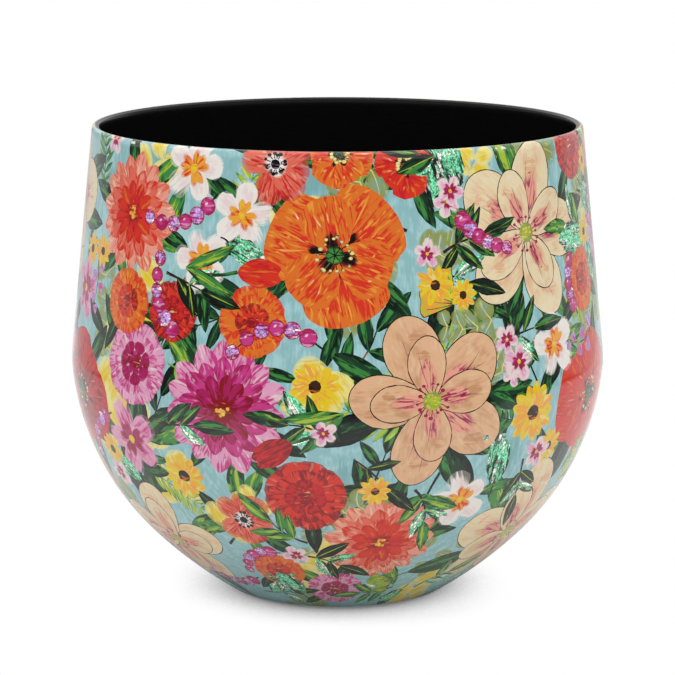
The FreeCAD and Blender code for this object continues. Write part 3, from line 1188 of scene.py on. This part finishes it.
def back_of_paper(paper, flat, rims):
    """A coarse sheet between the same two rims, for the glued side of the paper."""
    points = [Vector(flat[i]) for rim in rims for i in rim]
    outlines = [list(range(len(rims[0]))), list(range(len(rims[0]), len(points)))]
    for row in grid_rows(paper)[2:-2:2]:
        points += ring_points(paper, row, GLUED_COLUMNS)
    coords, _, faces, _, _, owners = delaunay_2d_cdt(points, [], outlines, 1, CUT_MERGED, True)
    kept = [face for face, found in zip(faces, owners) if 0 in found and 1 not in found]
    return used_only(np.array([tuple(point) for point in coords]), np.array(kept))


def facing_right(places, faces, wanted):
    """The faces, turned over if the first of them looks the wrong way."""
    a, b, c = (places[i] for i in faces[0][:3])
    return faces if np.dot(np.cross(b - a, c - a), wanted) > 0 else faces[:, ::-1]


def corner_paint(table, owner, turns, lengths, places):
    """How the patch on each triangle is painted, at the triangle's three corners."""
    rows = {key: values[owner][:, None] for key, values in table.items()}
    away = (turns - rows["turn"] + math.pi) % FULL_TURN - math.pi
    across = away * rows["radius"] - rows["start"].real
    up = rows["length"] - lengths - rows["start"].imag
    placed = (across + 1j * up) * np.conj(rows["way"])
    stroke = np.stack([placed.real, placed.imag, np.broadcast_to(rows["seed"], turns.shape)], axis=-1)
    # The ground's brushmarks run up the pot and join up behind it, so they follow the place itself
    plain = owner == 0
    stroke[plain] = np.stack([lengths, places[..., 0] / MM, places[..., 1] / MM / 2], axis=-1)[plain]
    return stroke, rows["form"], rows["brush"], rows["inks"]


def paint_table(patches, inks):
    """The patches' own numbers, one array for each."""
    return {
        "turn": np.array([patch.spot[0] for patch in patches]),
        "length": np.array([patch.spot[1] for patch in patches]),
        "radius": np.array([patch.spot[2] for patch in patches]),
        "start": np.array([patch.start for patch in patches], complex),
        "way": np.array([patch.way for patch in patches], complex),
        "seed": np.array([patch.seed for patch in patches]),
        "form": np.array([(1 / patch.reach[0], 1 / patch.reach[1], patch.soft) for patch in patches]),
        "brush": np.array([patch.brush for patch in patches]),
        "inks": np.array([[inks[name] for name in patch.paints] for patch in patches]),
    }


def write_corners(mesh, name, values, kind):
    """Stores a value for each corner of the mesh."""
    attribute = mesh.attributes.new(name, kind, "CORNER")
    channel = "color" if kind == "FLOAT_COLOR" else "vector"
    if kind == "FLOAT_COLOR":
        values = np.concatenate([values, np.ones((len(values), 1))], axis=1)
    attribute.data.foreach_set(channel, values.astype(np.float32).ravel())


def spread_map(turns, lengths, centres, end):
    """The outer side as two bands, front and back, one above the other on the bake's square."""
    front = np.abs(centres) < QUARTER
    middle = np.where(front, 0.0, np.sign(centres) * math.pi)[:, None]
    away = (turns - middle + math.pi) % FULL_TURN - math.pi
    width, height = 0.98, 0.455
    foot = np.where(front, 0.535, 0.06)[:, None]
    u = 0.5 + width * away / math.pi
    v = foot + height * (1 - lengths / end)
    return np.stack([u, v], axis=-1)


def write_brushwork(mesh, table, layers, turns, lengths, corners, blank):
    """Stores how each corner of the painted side is brushed. The other corners get the blank colour."""
    plain = np.zeros(blank.shape)
    for layer, owner in layers:
        *brushed, colours = corner_paint(table, owner, turns, lengths, corners)
        for part, values in zip(BRUSH_PARTS, brushed):
            values = np.broadcast_to(values, corners.shape).reshape(-1, 3)
            write_corners(mesh, f"{layer}_{part}", np.concatenate([values, plain]), "FLOAT_VECTOR")
        for i, part in enumerate(PAINT_PARTS):
            values = np.broadcast_to(colours[:, :, i], corners.shape).reshape(-1, 3)
            write_corners(mesh, f"{layer}_{part}", np.concatenate([values, blank]), "FLOAT_COLOR")


def write_bake_map(mesh, spread, rest):
    """Stores the bake's map. The corners out of sight share a thin strip along its foot."""
    hidden = np.zeros((rest, 2))
    hidden[:, 0] = np.linspace(0.01, 0.99, rest)
    hidden[:, 1] = np.tile((0.01, 0.02, 0.03), rest // 3 + 1)[:rest]
    layout = mesh.uv_layers.new(name="OFBake")
    values = np.concatenate([spread.reshape(-1, 2), hidden])
    layout.uv.foreach_set("vector", values.astype(np.float32).ravel())


def print_mesh(name, sizes, inks, seed):
    """The paper print as a closed mesh: painted side, glued side and the two cut edges between them."""
    outside, _ = pot_arcs(sizes)
    paper = Paper(sizes, outside)
    canvas = Canvas(paper, seed)
    paint_print(canvas)
    flat, triangles, top, under = cut_paper(paper, canvas.patches)
    flat, triangles = used_only(flat, triangles)
    turns, lengths, places, facing, rims = sheet_on_pot(paper, flat, triangles, 0.0)
    back_flat, back_triangles = back_of_paper(paper, flat, rims)
    thickness = in_mm(sizes.print_thickness)
    _, _, back_places, back_facing, back_rims = sheet_on_pot(paper, back_flat, back_triangles, thickness)
    every_place = np.concatenate([places, back_places])
    every_facing = np.concatenate([facing, -back_facing])
    triangles = facing_right(places, triangles, facing[triangles[0][0]])
    back_triangles = facing_right(back_places, back_triangles, -back_facing[back_triangles[0][0]])
    back_triangles = back_triangles + len(places)
    edges = []
    for rim, back_rim in zip(rims, back_rims):
        behind = back_rim + len(places)
        strip = np.stack([rim, np.roll(rim, -1), np.roll(behind, -1), behind], axis=1)
        inward = places[rim[0]] * (-1, -1, 0)
        edges.append(facing_right(every_place, strip, inward))
    strips = np.concatenate(edges)
    mesh = bpy.data.meshes.new(name)
    mesh.from_pydata(every_place.tolist(), [], triangles.tolist() + back_triangles.tolist() + strips.tolist())
    mesh.shade_smooth()
    rest = back_triangles.size + strips.size
    table = paint_table([GROUND, GROUND] + canvas.patches, inks)
    layers = (("top", top), ("under", under))
    blank = np.tile(inks["white"], (rest, 1))
    write_brushwork(mesh, table, layers, turns[triangles], lengths[triangles], places[triangles], blank)
    across, up = flat[triangles].mean(axis=1).T
    middles = np.arctan2(up, across)
    write_bake_map(mesh, spread_map(turns[triangles], lengths[triangles], middles, paper.end), rest)
    smooth = every_facing[np.concatenate([triangles, back_triangles])].reshape(-1, 3)
    flat_ways = np.repeat([strip_facing(every_place, strip) for strip in strips], 4, axis=0)
    mesh.normals_split_custom_set(np.concatenate([smooth, flat_ways]).tolist())
    return mesh


def strip_facing(places, strip):
    """The way that a face of a cut edge looks."""
    a, b, c = (places[i] for i in strip[:3])
    way = np.cross(b - a, c - a)
    return way / np.linalg.norm(way)


# Materials

def add(tree, kind, inputs=(), output=0, **settings):
    """Adds a node with its settings, and with its inputs by name or in their order. Gives one of its
    outputs, or the node for output None."""
    node = tree.nodes.new("ShaderNode" + kind)
    for name, value in settings.items():
        setattr(node, name, value)
    for key, value in inputs.items() if isinstance(inputs, dict) else enumerate(inputs):
        if isinstance(value, bpy.types.NodeSocket):
            tree.links.new(value, node.inputs[key])
        else:
            node.inputs[key].default_value = value
    return node if output is None else node.outputs[output]


def new_material(name, **surface):
    """A material with one shader, whose plain values are set on its own sockets."""
    material = bpy.data.materials.new(name)
    material.use_nodes = True
    tree = material.node_tree
    shader = tree.nodes["Principled BSDF"]
    for socket, value in surface.items():
        shader.inputs[socket.replace("_", " ")].default_value = value
    return material, tree, shader


def painted_layer(tree, layer):
    """Colour and cover of one layer of brushwork. Bristle marks run along a stroke, dabs and blots lie
    across it."""
    stroke, form, brush = (
        add(tree, "Attribute", output="Vector", attribute_name=f"{layer}_{part}") for part in BRUSH_PARTS
    )
    body, shade, light = (
        add(tree, "Attribute", output="Color", attribute_name=f"{layer}_{part}") for part in PAINT_PARTS
    )
    along, aside, _ = add(tree, "SeparateXYZ", (stroke,), None).outputs
    shorter, narrower, soft = add(tree, "SeparateXYZ", (form,), None).outputs
    streak, rim, glitter = add(tree, "SeparateXYZ", (brush,), None).outputs
    along = add(tree, "Math", (along, shorter), operation="MULTIPLY")
    along = add(tree, "Math", (along, 2.0, -1.0), operation="MULTIPLY_ADD")
    aside = add(tree, "Math", (aside, narrower), operation="MULTIPLY")
    centred = add(tree, "CombineXYZ", (along, aside))
    outward = add(tree, "VectorMath", (centred,), "Value", operation="LENGTH")
    marks = {}
    for mark, (reach, width, detail) in BRUSH_MARKS.items():
        spread = add(tree, "VectorMath", (stroke, (1 / reach, 1 / width, 1.0)), operation="MULTIPLY")
        moved = add(tree, "VectorMath", (spread, (reach, width, reach)), operation="ADD")
        noise = add(tree, "TexNoise", {"Vector": moved, "Scale": 1.0, "Detail": detail, "Distortion": 0.4})
        marks[mark] = add(tree, "Math", (noise, -0.5), operation="ADD")
    # How deep in shade: a level start, bristle marks, blots, and the rim of the patch
    streaked = add(tree, "Math", (streak, 3.0), operation="MULTIPLY")
    blotched = add(tree, "Math", (streak, 1.6, 0.7), operation="MULTIPLY_ADD")
    rimward = add(tree, "Math", (outward, -0.62), operation="ADD")
    depth = 0.42
    for mark, strength in ((marks["bristle"], streaked), (marks["blot"], blotched), (rimward, rim)):
        depth = add(tree, "Math", (mark, strength, depth), operation="MULTIPLY_ADD")
    edges = {"Value": depth, "From Min": 0.25, "From Max": 0.75}
    shaded = add(tree, "MapRange", edges, interpolation_type="SMOOTHSTEP")
    colour = add(tree, "Mix", {"Factor": shaded, "A": body, "B": shade}, "Result", data_type="RGBA")
    lit = add(tree, "Math", (marks["bristle"], 0.5, marks["dab"]), operation="MULTIPLY_ADD")
    edges = {"Value": lit, "From Min": 0.07, "From Max": 0.2, "To Max": 0.8}
    lit = add(tree, "MapRange", edges, interpolation_type="SMOOTHSTEP")
    lively = add(tree, "Math", (streak, 1.2, 0.1), operation="MULTIPLY_ADD", use_clamp=True)
    lit = add(tree, "Math", (lit, lively), operation="MULTIPLY")
    colour = add(tree, "Mix", {"Factor": lit, "A": colour, "B": light}, "Result", data_type="RGBA")
    # Glitter is flakes of 0.9 mm, coarse enough to show. Each flake's colour is scaled from 0.3 to 2 times
    # its paint: partly the flakes' own uneven tone, partly painted glints on the flakes that catch the light
    # and painted shade on the others
    flakes = add(tree, "VectorMath", (stroke, (1.1, 1.1, 1.0)), operation="MULTIPLY")
    flake = add(tree, "TexVoronoi", {"Vector": flakes, "Scale": 1.0}, "Color")
    flake = add(tree, "SeparateXYZ", (flake,))
    shine = add(tree, "Math", (flake, 1.7, 0.3), operation="MULTIPLY_ADD")
    flakes_with_glints = add(tree, "VectorMath", {0: colour, "Scale": shine}, operation="SCALE")
    colour = add(tree, "Mix", {"Factor": glitter, "A": colour, "B": flakes_with_glints}, "Result", data_type="RGBA")
    # A soft patch ends in a ragged edge
    ragged = add(tree, "Math", (marks["bristle"], 1.1, outward), operation="MULTIPLY_ADD")
    ragged = add(tree, "Math", (marks["blot"], 0.7, ragged), operation="MULTIPLY_ADD")
    edges = {"Value": ragged, "From Min": 0.6, "From Max": 1.0}
    ragged = add(tree, "MapRange", edges, interpolation_type="SMOOTHSTEP")
    lost = add(tree, "Math", (ragged, soft), operation="MULTIPLY")
    cover = add(tree, "Math", (1.0, lost), operation="SUBTRACT")
    return colour, cover


def lacquered_print():
    """Decoupage paper under clear lacquer: brushwork printed on thin paper, glued on and flooded with gloss.
    The lacquer is smooth and slightly wavy, and its gloss veils the print where it is seen at a low angle."""
    material, tree, shader = new_material(
        "lacquered decoupage paper",
        Roughness=0.5, Specular_IOR_Level=0.1, Coat_Weight=1.0, Coat_Roughness=0.04,
    )
    under, _ = painted_layer(tree, "under")
    top, cover = painted_layer(tree, "top")
    colour = add(tree, "Mix", {"Factor": cover, "A": under, "B": top}, "Result", data_type="RGBA")
    tree.links.new(colour, shader.inputs["Base Color"])
    place = add(tree, "TexCoord", output="Object")
    ripple_length = 7.0
    ripple = add(tree, "TexNoise", {"Vector": place, "Scale": 1 / (ripple_length * MM), "Detail": 1.0})
    bump = add(tree, "Bump", {"Height": ripple, "Strength": 0.5, "Distance": 0.03 * MM})
    tree.links.new(bump, shader.inputs["Coat Normal"])
    return material


def grained(tree, shader, colour, toned, grain, strength, height):
    """Gives a shader its colour, toned by a level, and the relief of its grain, so many millimetres high."""
    base = add(tree, "VectorMath", {0: colour, "Scale": toned}, operation="SCALE")
    tree.links.new(base, shader.inputs["Base Color"])
    bump = add(tree, "Bump", {"Height": grain, "Strength": strength, "Distance": height * MM})
    tree.links.new(bump, shader.inputs["Normal"])


def satin_lining(colour):
    """Black waterproof paint, brushed on inside: satin, with faint marks round the wall."""
    material, tree, shader = new_material("satin black paint", Roughness=0.2, Specular_IOR_Level=0.15)
    place = add(tree, "TexCoord", output="Object")
    # Marks to the metre, across and up the wall
    marks = add(tree, "Mapping", {"Vector": place, "Scale": (120, 120, 600)})
    brushed = add(tree, "TexNoise", {"Vector": marks, "Scale": 1.0, "Detail": 3.0})
    level = add(tree, "MapRange", {"Value": brushed, "To Min": 0.5, "To Max": 1.1})
    grained(tree, shader, colour, level, brushed, 0.3, 0.05)
    return material


def biscuit_body(colour):
    """Unglazed cast ceramic: matt, pale and slightly speckled, with a fine sandy grain."""
    material, tree, shader = new_material("unglazed cast ceramic", Roughness=0.9)
    place = add(tree, "TexCoord", output="Object")
    grain_size, cloud_size = 1.2, 15.0
    grain = add(tree, "TexNoise", {"Vector": place, "Scale": 1 / (grain_size * MM), "Detail": 2.0})
    cloud = add(tree, "TexNoise", {"Vector": place, "Scale": 1 / (cloud_size * MM), "Detail": 3.0})
    mottle = add(tree, "Math", (grain, 0.4, cloud), operation="MULTIPLY_ADD")
    tones = {"Value": mottle, "From Min": 0.4, "From Max": 1.0, "To Min": 0.8, "To Max": 1.05}
    level = add(tree, "MapRange", tones)
    grained(tree, shader, colour, level, grain, 0.5, 0.1)
    return material


def pressed_felt(colour):
    """Grey wool felt, needled and die cut: matt, with short tangled fibres."""
    surface = {"Roughness": 1.0, "Sheen_Weight": 0.3, "Sheen_Roughness": 0.6}
    material, tree, shader = new_material("pressed wool felt", **surface)
    place = add(tree, "TexCoord", output="Object")
    fibre_size = 0.5
    tangle = {"Vector": place, "Scale": 1 / (fibre_size * MM), "Detail": 3.0, "Distortion": 2.0}
    fibres = add(tree, "TexNoise", tangle)
    tones = {"Value": fibres, "From Min": 0.3, "From Max": 0.7, "To Min": 0.6, "To Max": 1.4}
    level = add(tree, "MapRange", tones)
    grained(tree, shader, colour, level, fibres, 0.8, 0.2)
    return material


# Operators

def nothing_selected():
    """Leaves edit mode and deselects all objects."""
    if bpy.context.object and bpy.context.object.mode != "OBJECT":
        bpy.ops.object.mode_set(mode="OBJECT")
    bpy.ops.object.select_all(action="DESELECT")


def linked(mesh, material):
    """A new object of a mesh, selected and active, in its material."""
    nothing_selected()
    piece = bpy.data.objects.new(mesh.name, mesh)
    bpy.context.collection.objects.link(piece)
    piece.select_set(True)
    bpy.context.view_layer.objects.active = piece
    mesh.materials.clear()
    mesh.materials.append(material)
    return piece


class CACHEPOT_OT_print(bpy.types.Operator):
    """Makes the printed paper skin with its brushwork, in lacquer"""

    bl_idname = "cachepot.print"
    bl_label = "Printed paper"

    def execute(self, context):
        inks = {name: list(getattr(context.scene.cachepot_inks, name)) for name in PrintInks.__annotations__}
        inks["lining"] = list(context.scene.cachepot_coats.lining)
        mesh = print_mesh("painted_print", context.scene.cachepot_sizes, inks, PRINT_SEED)
        piece = linked(mesh, lacquered_print())
        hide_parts("print_wrap")
        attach(piece, "root")
        return {"FINISHED"}


class CACHEPOT_OT_lining(bpy.types.Operator):
    """Turns the black lining of the inside"""

    bl_idname = "cachepot.lining"
    bl_label = "Black lining"

    def execute(self, context):
        sizes = context.scene.cachepot_sizes
        outside, inside = pot_arcs(sizes)
        crest = outside[0].centre.real
        seen, _ = traced(inside, in_mm(sizes.wall), LINING_STEP)
        bed, _ = traced(inside, in_mm(sizes.wall - sizes.lining), LINING_STEP)
        section = [complex(crest, seen[0].imag)] + seen + straight(seen[-1], 1j * seen[-1].imag, LINING_STEP)
        section += [1j * seen[-1].imag, 1j * bed[-1].imag] + bed[::-1] + [complex(crest, bed[0].imag)]
        mesh = bpy.data.meshes.new("spun_lining")
        lift = in_mm(WRAP_LOW[2])
        points = [(p.real * MM, 0.0, (p.imag + lift) * MM) for p in section]
        count = len(points)
        mesh.from_pydata(points, [(i, (i + 1) % count) for i in range(count)], [])
        piece = linked(mesh, satin_lining(context.scene.cachepot_coats.lining))
        bpy.ops.object.mode_set(mode="EDIT")
        bpy.ops.mesh.select_all(action="SELECT")
        bpy.ops.mesh.spin(steps=LINING_TURNS, angle=FULL_TURN, center=(0, 0, 0), axis=(0, 0, 1))
        bpy.ops.mesh.select_all(action="SELECT")
        bpy.ops.mesh.remove_doubles(threshold=MERGED * MM)
        bpy.ops.mesh.delete_loose(use_faces=False)
        bpy.ops.mesh.select_all(action="SELECT")
        # The tool goes by the face farthest from the middle, and the lining's own edge misleads it
        bpy.ops.mesh.normals_make_consistent(inside=True)
        bpy.ops.object.mode_set(mode="OBJECT")
        bpy.ops.object.shade_smooth_by_angle(angle=math.radians(LEAST_CREASE))
        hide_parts("inner_lining")
        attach(piece, "root")
        return {"FINISHED"}


class CACHEPOT_OT_body(bpy.types.Operator):
    """Gives the cast body its unglazed surface, which shows under the foot"""

    bl_idname = "cachepot.body"
    bl_label = "Cast body"

    def execute(self, context):
        biscuit = biscuit_body(context.scene.cachepot_coats.biscuit)
        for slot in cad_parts["pot_body"].material_slots:
            slot.material = biscuit
        return {"FINISHED"}


class CACHEPOT_OT_pads(bpy.types.Operator):
    """Makes the felt pads under the foot, each a soft-edged disc with a slightly uneven face"""

    bl_idname = "cachepot.pads"
    bl_label = "Felt pads"

    def execute(self, context):
        material = pressed_felt(context.scene.cachepot_coats.felt)
        nodes = sorted(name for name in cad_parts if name.startswith("foot_pad"))
        for number, node in enumerate(nodes):
            low, high = (Vector(corner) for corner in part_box(node))
            nothing_selected()
            radius = (high.x - low.x) / 2
            depth = high.z - low.z
            middle = (low + high) / 2
            bpy.ops.mesh.primitive_cylinder_add(
                vertices=PAD_CORNERS, radius=radius, depth=depth, location=middle
            )
            piece = bpy.context.object
            piece.name = piece.data.name = f"felt_{node}"
            bpy.ops.object.transform_apply(location=True, rotation=True, scale=True)
            bpy.ops.object.mode_set(mode="EDIT")
            bpy.ops.mesh.select_mode(type="FACE")
            bpy.ops.mesh.select_all(action="SELECT")
            bpy.ops.mesh.bevel(offset=depth * PAD_ROUND, segments=3)
            bpy.ops.mesh.select_all(action="DESELECT")
            bpy.ops.object.mode_set(mode="OBJECT")
            for face in piece.data.polygons:
                face.select = abs(face.normal.z) > 0.9 and face.area > radius ** 2
            bpy.ops.object.mode_set(mode="EDIT")
            for share in PAD_RINGS:
                bpy.ops.mesh.inset(thickness=radius * share, use_individual=True)
            bpy.ops.mesh.poke()
            bpy.ops.object.mode_set(mode="OBJECT")
            soften_felt(piece, middle, number)
            bpy.ops.object.shade_smooth()
            piece.data.materials.clear()
            piece.data.materials.append(material)
            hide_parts(node)
            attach(piece, "root")
        return {"FINISHED"}


def soften_felt(piece, middle, seed):
    """Moves the pad's points a little inwards, each by its own share, so that its cut edge looks fibrous."""
    dice = random.Random(seed)
    aside, up = PAD_FUZZ
    for point in piece.data.vertices:
        away = point.co - middle
        away.x *= 1 - dice.uniform(0, aside)
        away.y *= 1 - dice.uniform(0, aside)
        away.z *= 1 - dice.uniform(0, up) if away.z > 0 else 1
        point.co = middle + away


class CACHEPOT_OT_stage(bpy.types.Operator):
    """Makes the floor, the lamp, the white surroundings and the camera"""

    bl_idname = "cachepot.stage"
    bl_label = "Studio"

    def execute(self, context):
        look = context.scene.cachepot_stage
        make_floor(look)
        make_surroundings(context.scene)
        make_lamp("overhead softbox", SOFTBOX_PLACE, SOFTBOX_SIZE, SOFTBOX_POWER)
        make_camera(context.scene, look)
        context.scene.view_settings.view_transform = "Standard"
        return {"FINISHED"}


def make_floor(look):
    """A wide pale floor. The camera sees it white, with a neutral shade where the pot covers its sky. Gloss
    sees it bright near the pot, dimmer behind it, and a dark room beyond."""
    nothing_selected()
    bpy.ops.mesh.primitive_plane_add(size=8.0, location=(0, 0, 0))
    floor = bpy.context.object
    floor.name = floor.data.name = "studio_floor"
    material = bpy.data.materials.new("white studio floor")
    material.use_nodes = True
    tree = material.node_tree
    tree.nodes.clear()
    ray = add(tree, "LightPath", output=None).outputs
    place = add(tree, "TexCoord", output="Object")
    backward = add(tree, "SeparateXYZ", (place,), 1)
    moved = add(tree, "VectorMath", (place, (0, -BRIGHT_BEHIND, 0)), operation="ADD")
    away = add(tree, "VectorMath", (moved,), "Value", operation="LENGTH")
    levels = []
    for distance, (start, full, least, most) in ((away, BRIGHT_EDGE), (backward, DIMMER_EDGE)):
        edge = (distance, start, full, least, most)
        levels.append(add(tree, "MapRange", edge, interpolation_type="SMOOTHSTEP"))
    near, behind = levels
    room = add(tree, "Math", (1.0, near), operation="SUBTRACT")
    near = add(tree, "Math", (behind, room, near), operation="MULTIPLY_ADD")
    dimmed = add(tree, "VectorMath", {0: look.floor, "Scale": near}, operation="SCALE")
    either = {"Factor": ray["Is Glossy Ray"], "A": (*look.floor, 1), "B": dimmed}
    seen = add(tree, "Mix", either, "Result", data_type="RGBA")
    lit = add(tree, "BsdfDiffuse", {"Color": seen})
    air = add(tree, "AmbientOcclusion", {"Distance": SHADE_REACH}, "AO", samples=16)
    level = add(tree, "MapRange", (air, *SHADE), interpolation_type="SMOOTHSTEP")
    white = add(tree, "Emission", {"Strength": level})
    shader = add(tree, "MixShader", (ray["Is Camera Ray"], lit, white))
    add(tree, "OutputMaterial", {"Surface": shader}, None)
    material.cycles.emission_sampling = "NONE"
    floor.data.materials.append(material)


def make_surroundings(scene):
    """Even light from all sides. Gloss sees white walls beside and behind the pot, a white roof, and a dark
    room in front."""
    world = bpy.data.worlds.new("white tent")
    scene.world = world
    world.use_nodes = True
    tree = world.node_tree
    tree.nodes.clear()
    way = add(tree, "TexCoord", output="Generated")
    rightward, backward, upward = add(tree, "SeparateXYZ", (way,), None).outputs
    levels = {}
    # Where each part of the tent starts and is full, as the slant of a ray towards it, and its light there
    for part, slant, start, full, least, most in (
        ("behind", backward, 0.4, 0.75, 0.0, 1.0),
        ("right", rightward, 0.3, 0.9, 0.05, 0.14),
        ("above", upward, 0.06, 0.16, 0.0, 0.9),
        ("even", upward, 0.0, 0.9, SKY[0], SKY[1]),
    ):
        edge = (slant, start, full, least, most)
        levels[part] = add(tree, "MapRange", edge, interpolation_type="SMOOTHSTEP")
    brighter = add(tree, "Math", (rightward, 0.35, 0.55), operation="MULTIPLY_ADD")
    sides = add(tree, "Math", (levels["behind"], brighter, levels["right"]), operation="MULTIPLY_ADD")
    tent = add(tree, "Math", (sides, levels["above"]), operation="MAXIMUM")
    ray = add(tree, "LightPath", output=None).outputs
    either = {"Factor": ray["Is Glossy Ray"], "A": levels["even"], "B": tent}
    level = add(tree, "Mix", either, "Result", data_type="FLOAT")
    clear = add(tree, "Math", (ray["Is Camera Ray"], ray["Is Transmission Ray"]), operation="MAXIMUM")
    level = add(tree, "Mix", {"Factor": clear, "A": level, "B": 1.0}, "Result", data_type="FLOAT")
    light = add(tree, "Background", {"Color": (1, 1, 1, 1), "Strength": level})
    add(tree, "OutputWorld", {"Surface": light}, None)


def make_lamp(name, place, spread, watts):
    """A rectangular softbox that looks at the middle of the pot."""
    lamp = bpy.data.lights.new(name, "AREA")
    lamp.shape = "RECTANGLE"
    lamp.size, lamp.size_y = spread
    lamp.energy = watts
    holder = bpy.data.objects.new(name, lamp)
    holder.location = place
    aim = Vector((0, 0, WRAP_HIGH[2] / 2)) - Vector(place)
    holder.rotation_euler = aim.to_track_quat("-Z", "Y").to_euler()
    bpy.context.collection.objects.link(holder)


def make_camera(scene, look):
    """The camera straight in front of the pot, a little above it and looking down."""
    camera = bpy.data.cameras.new("camera")
    camera.lens = look.lens
    holder = bpy.data.objects.new("camera", camera)
    holder.location = (0, -look.camera_distance, look.camera_height)
    holder.rotation_euler = (QUARTER - look.camera_tilt, 0, 0)
    scene.collection.objects.link(holder)
    scene.camera = holder


class CACHEPOT_PT_panel(bpy.types.Panel):
    """Lists the pot's pieces and looks"""

    bl_label = "Printed cachepot"
    bl_idname = "CACHEPOT_PT_panel"
    bl_space_type = "VIEW_3D"
    bl_region_type = "UI"
    bl_category = "Cachepot"

    def draw(self, context):
        for operator in OPERATORS:
            self.layout.operator(operator.bl_idname)
        for group in GROUPS:
            box = self.layout.box()
            for name in GROUPS[group].__annotations__:
                box.prop(getattr(context.scene, group), name)


GROUPS = {
    "cachepot_sizes": PotSizes,
    "cachepot_inks": PrintInks,
    "cachepot_coats": CoatLook,
    "cachepot_stage": StageLook,
}
OPERATORS = (CACHEPOT_OT_print, CACHEPOT_OT_lining, CACHEPOT_OT_body, CACHEPOT_OT_pads, CACHEPOT_OT_stage)
CLASSES = (*GROUPS.values(), *OPERATORS, CACHEPOT_PT_panel)


def register():
    for kind in CLASSES:
        bpy.utils.register_class(kind)
    for name, group in GROUPS.items():
        setattr(bpy.types.Scene, name, bpy.props.PointerProperty(type=group))


def unregister():
    for name in GROUPS:
        delattr(bpy.types.Scene, name)
    for kind in reversed(CLASSES):
        bpy.utils.unregister_class(kind)


def main():
    register()
    bpy.ops.cachepot.print()
    bpy.ops.cachepot.lining()
    bpy.ops.cachepot.body()
    bpy.ops.cachepot.pads()
    bpy.ops.cachepot.stage()


if __name__ == "__main__":
    main()
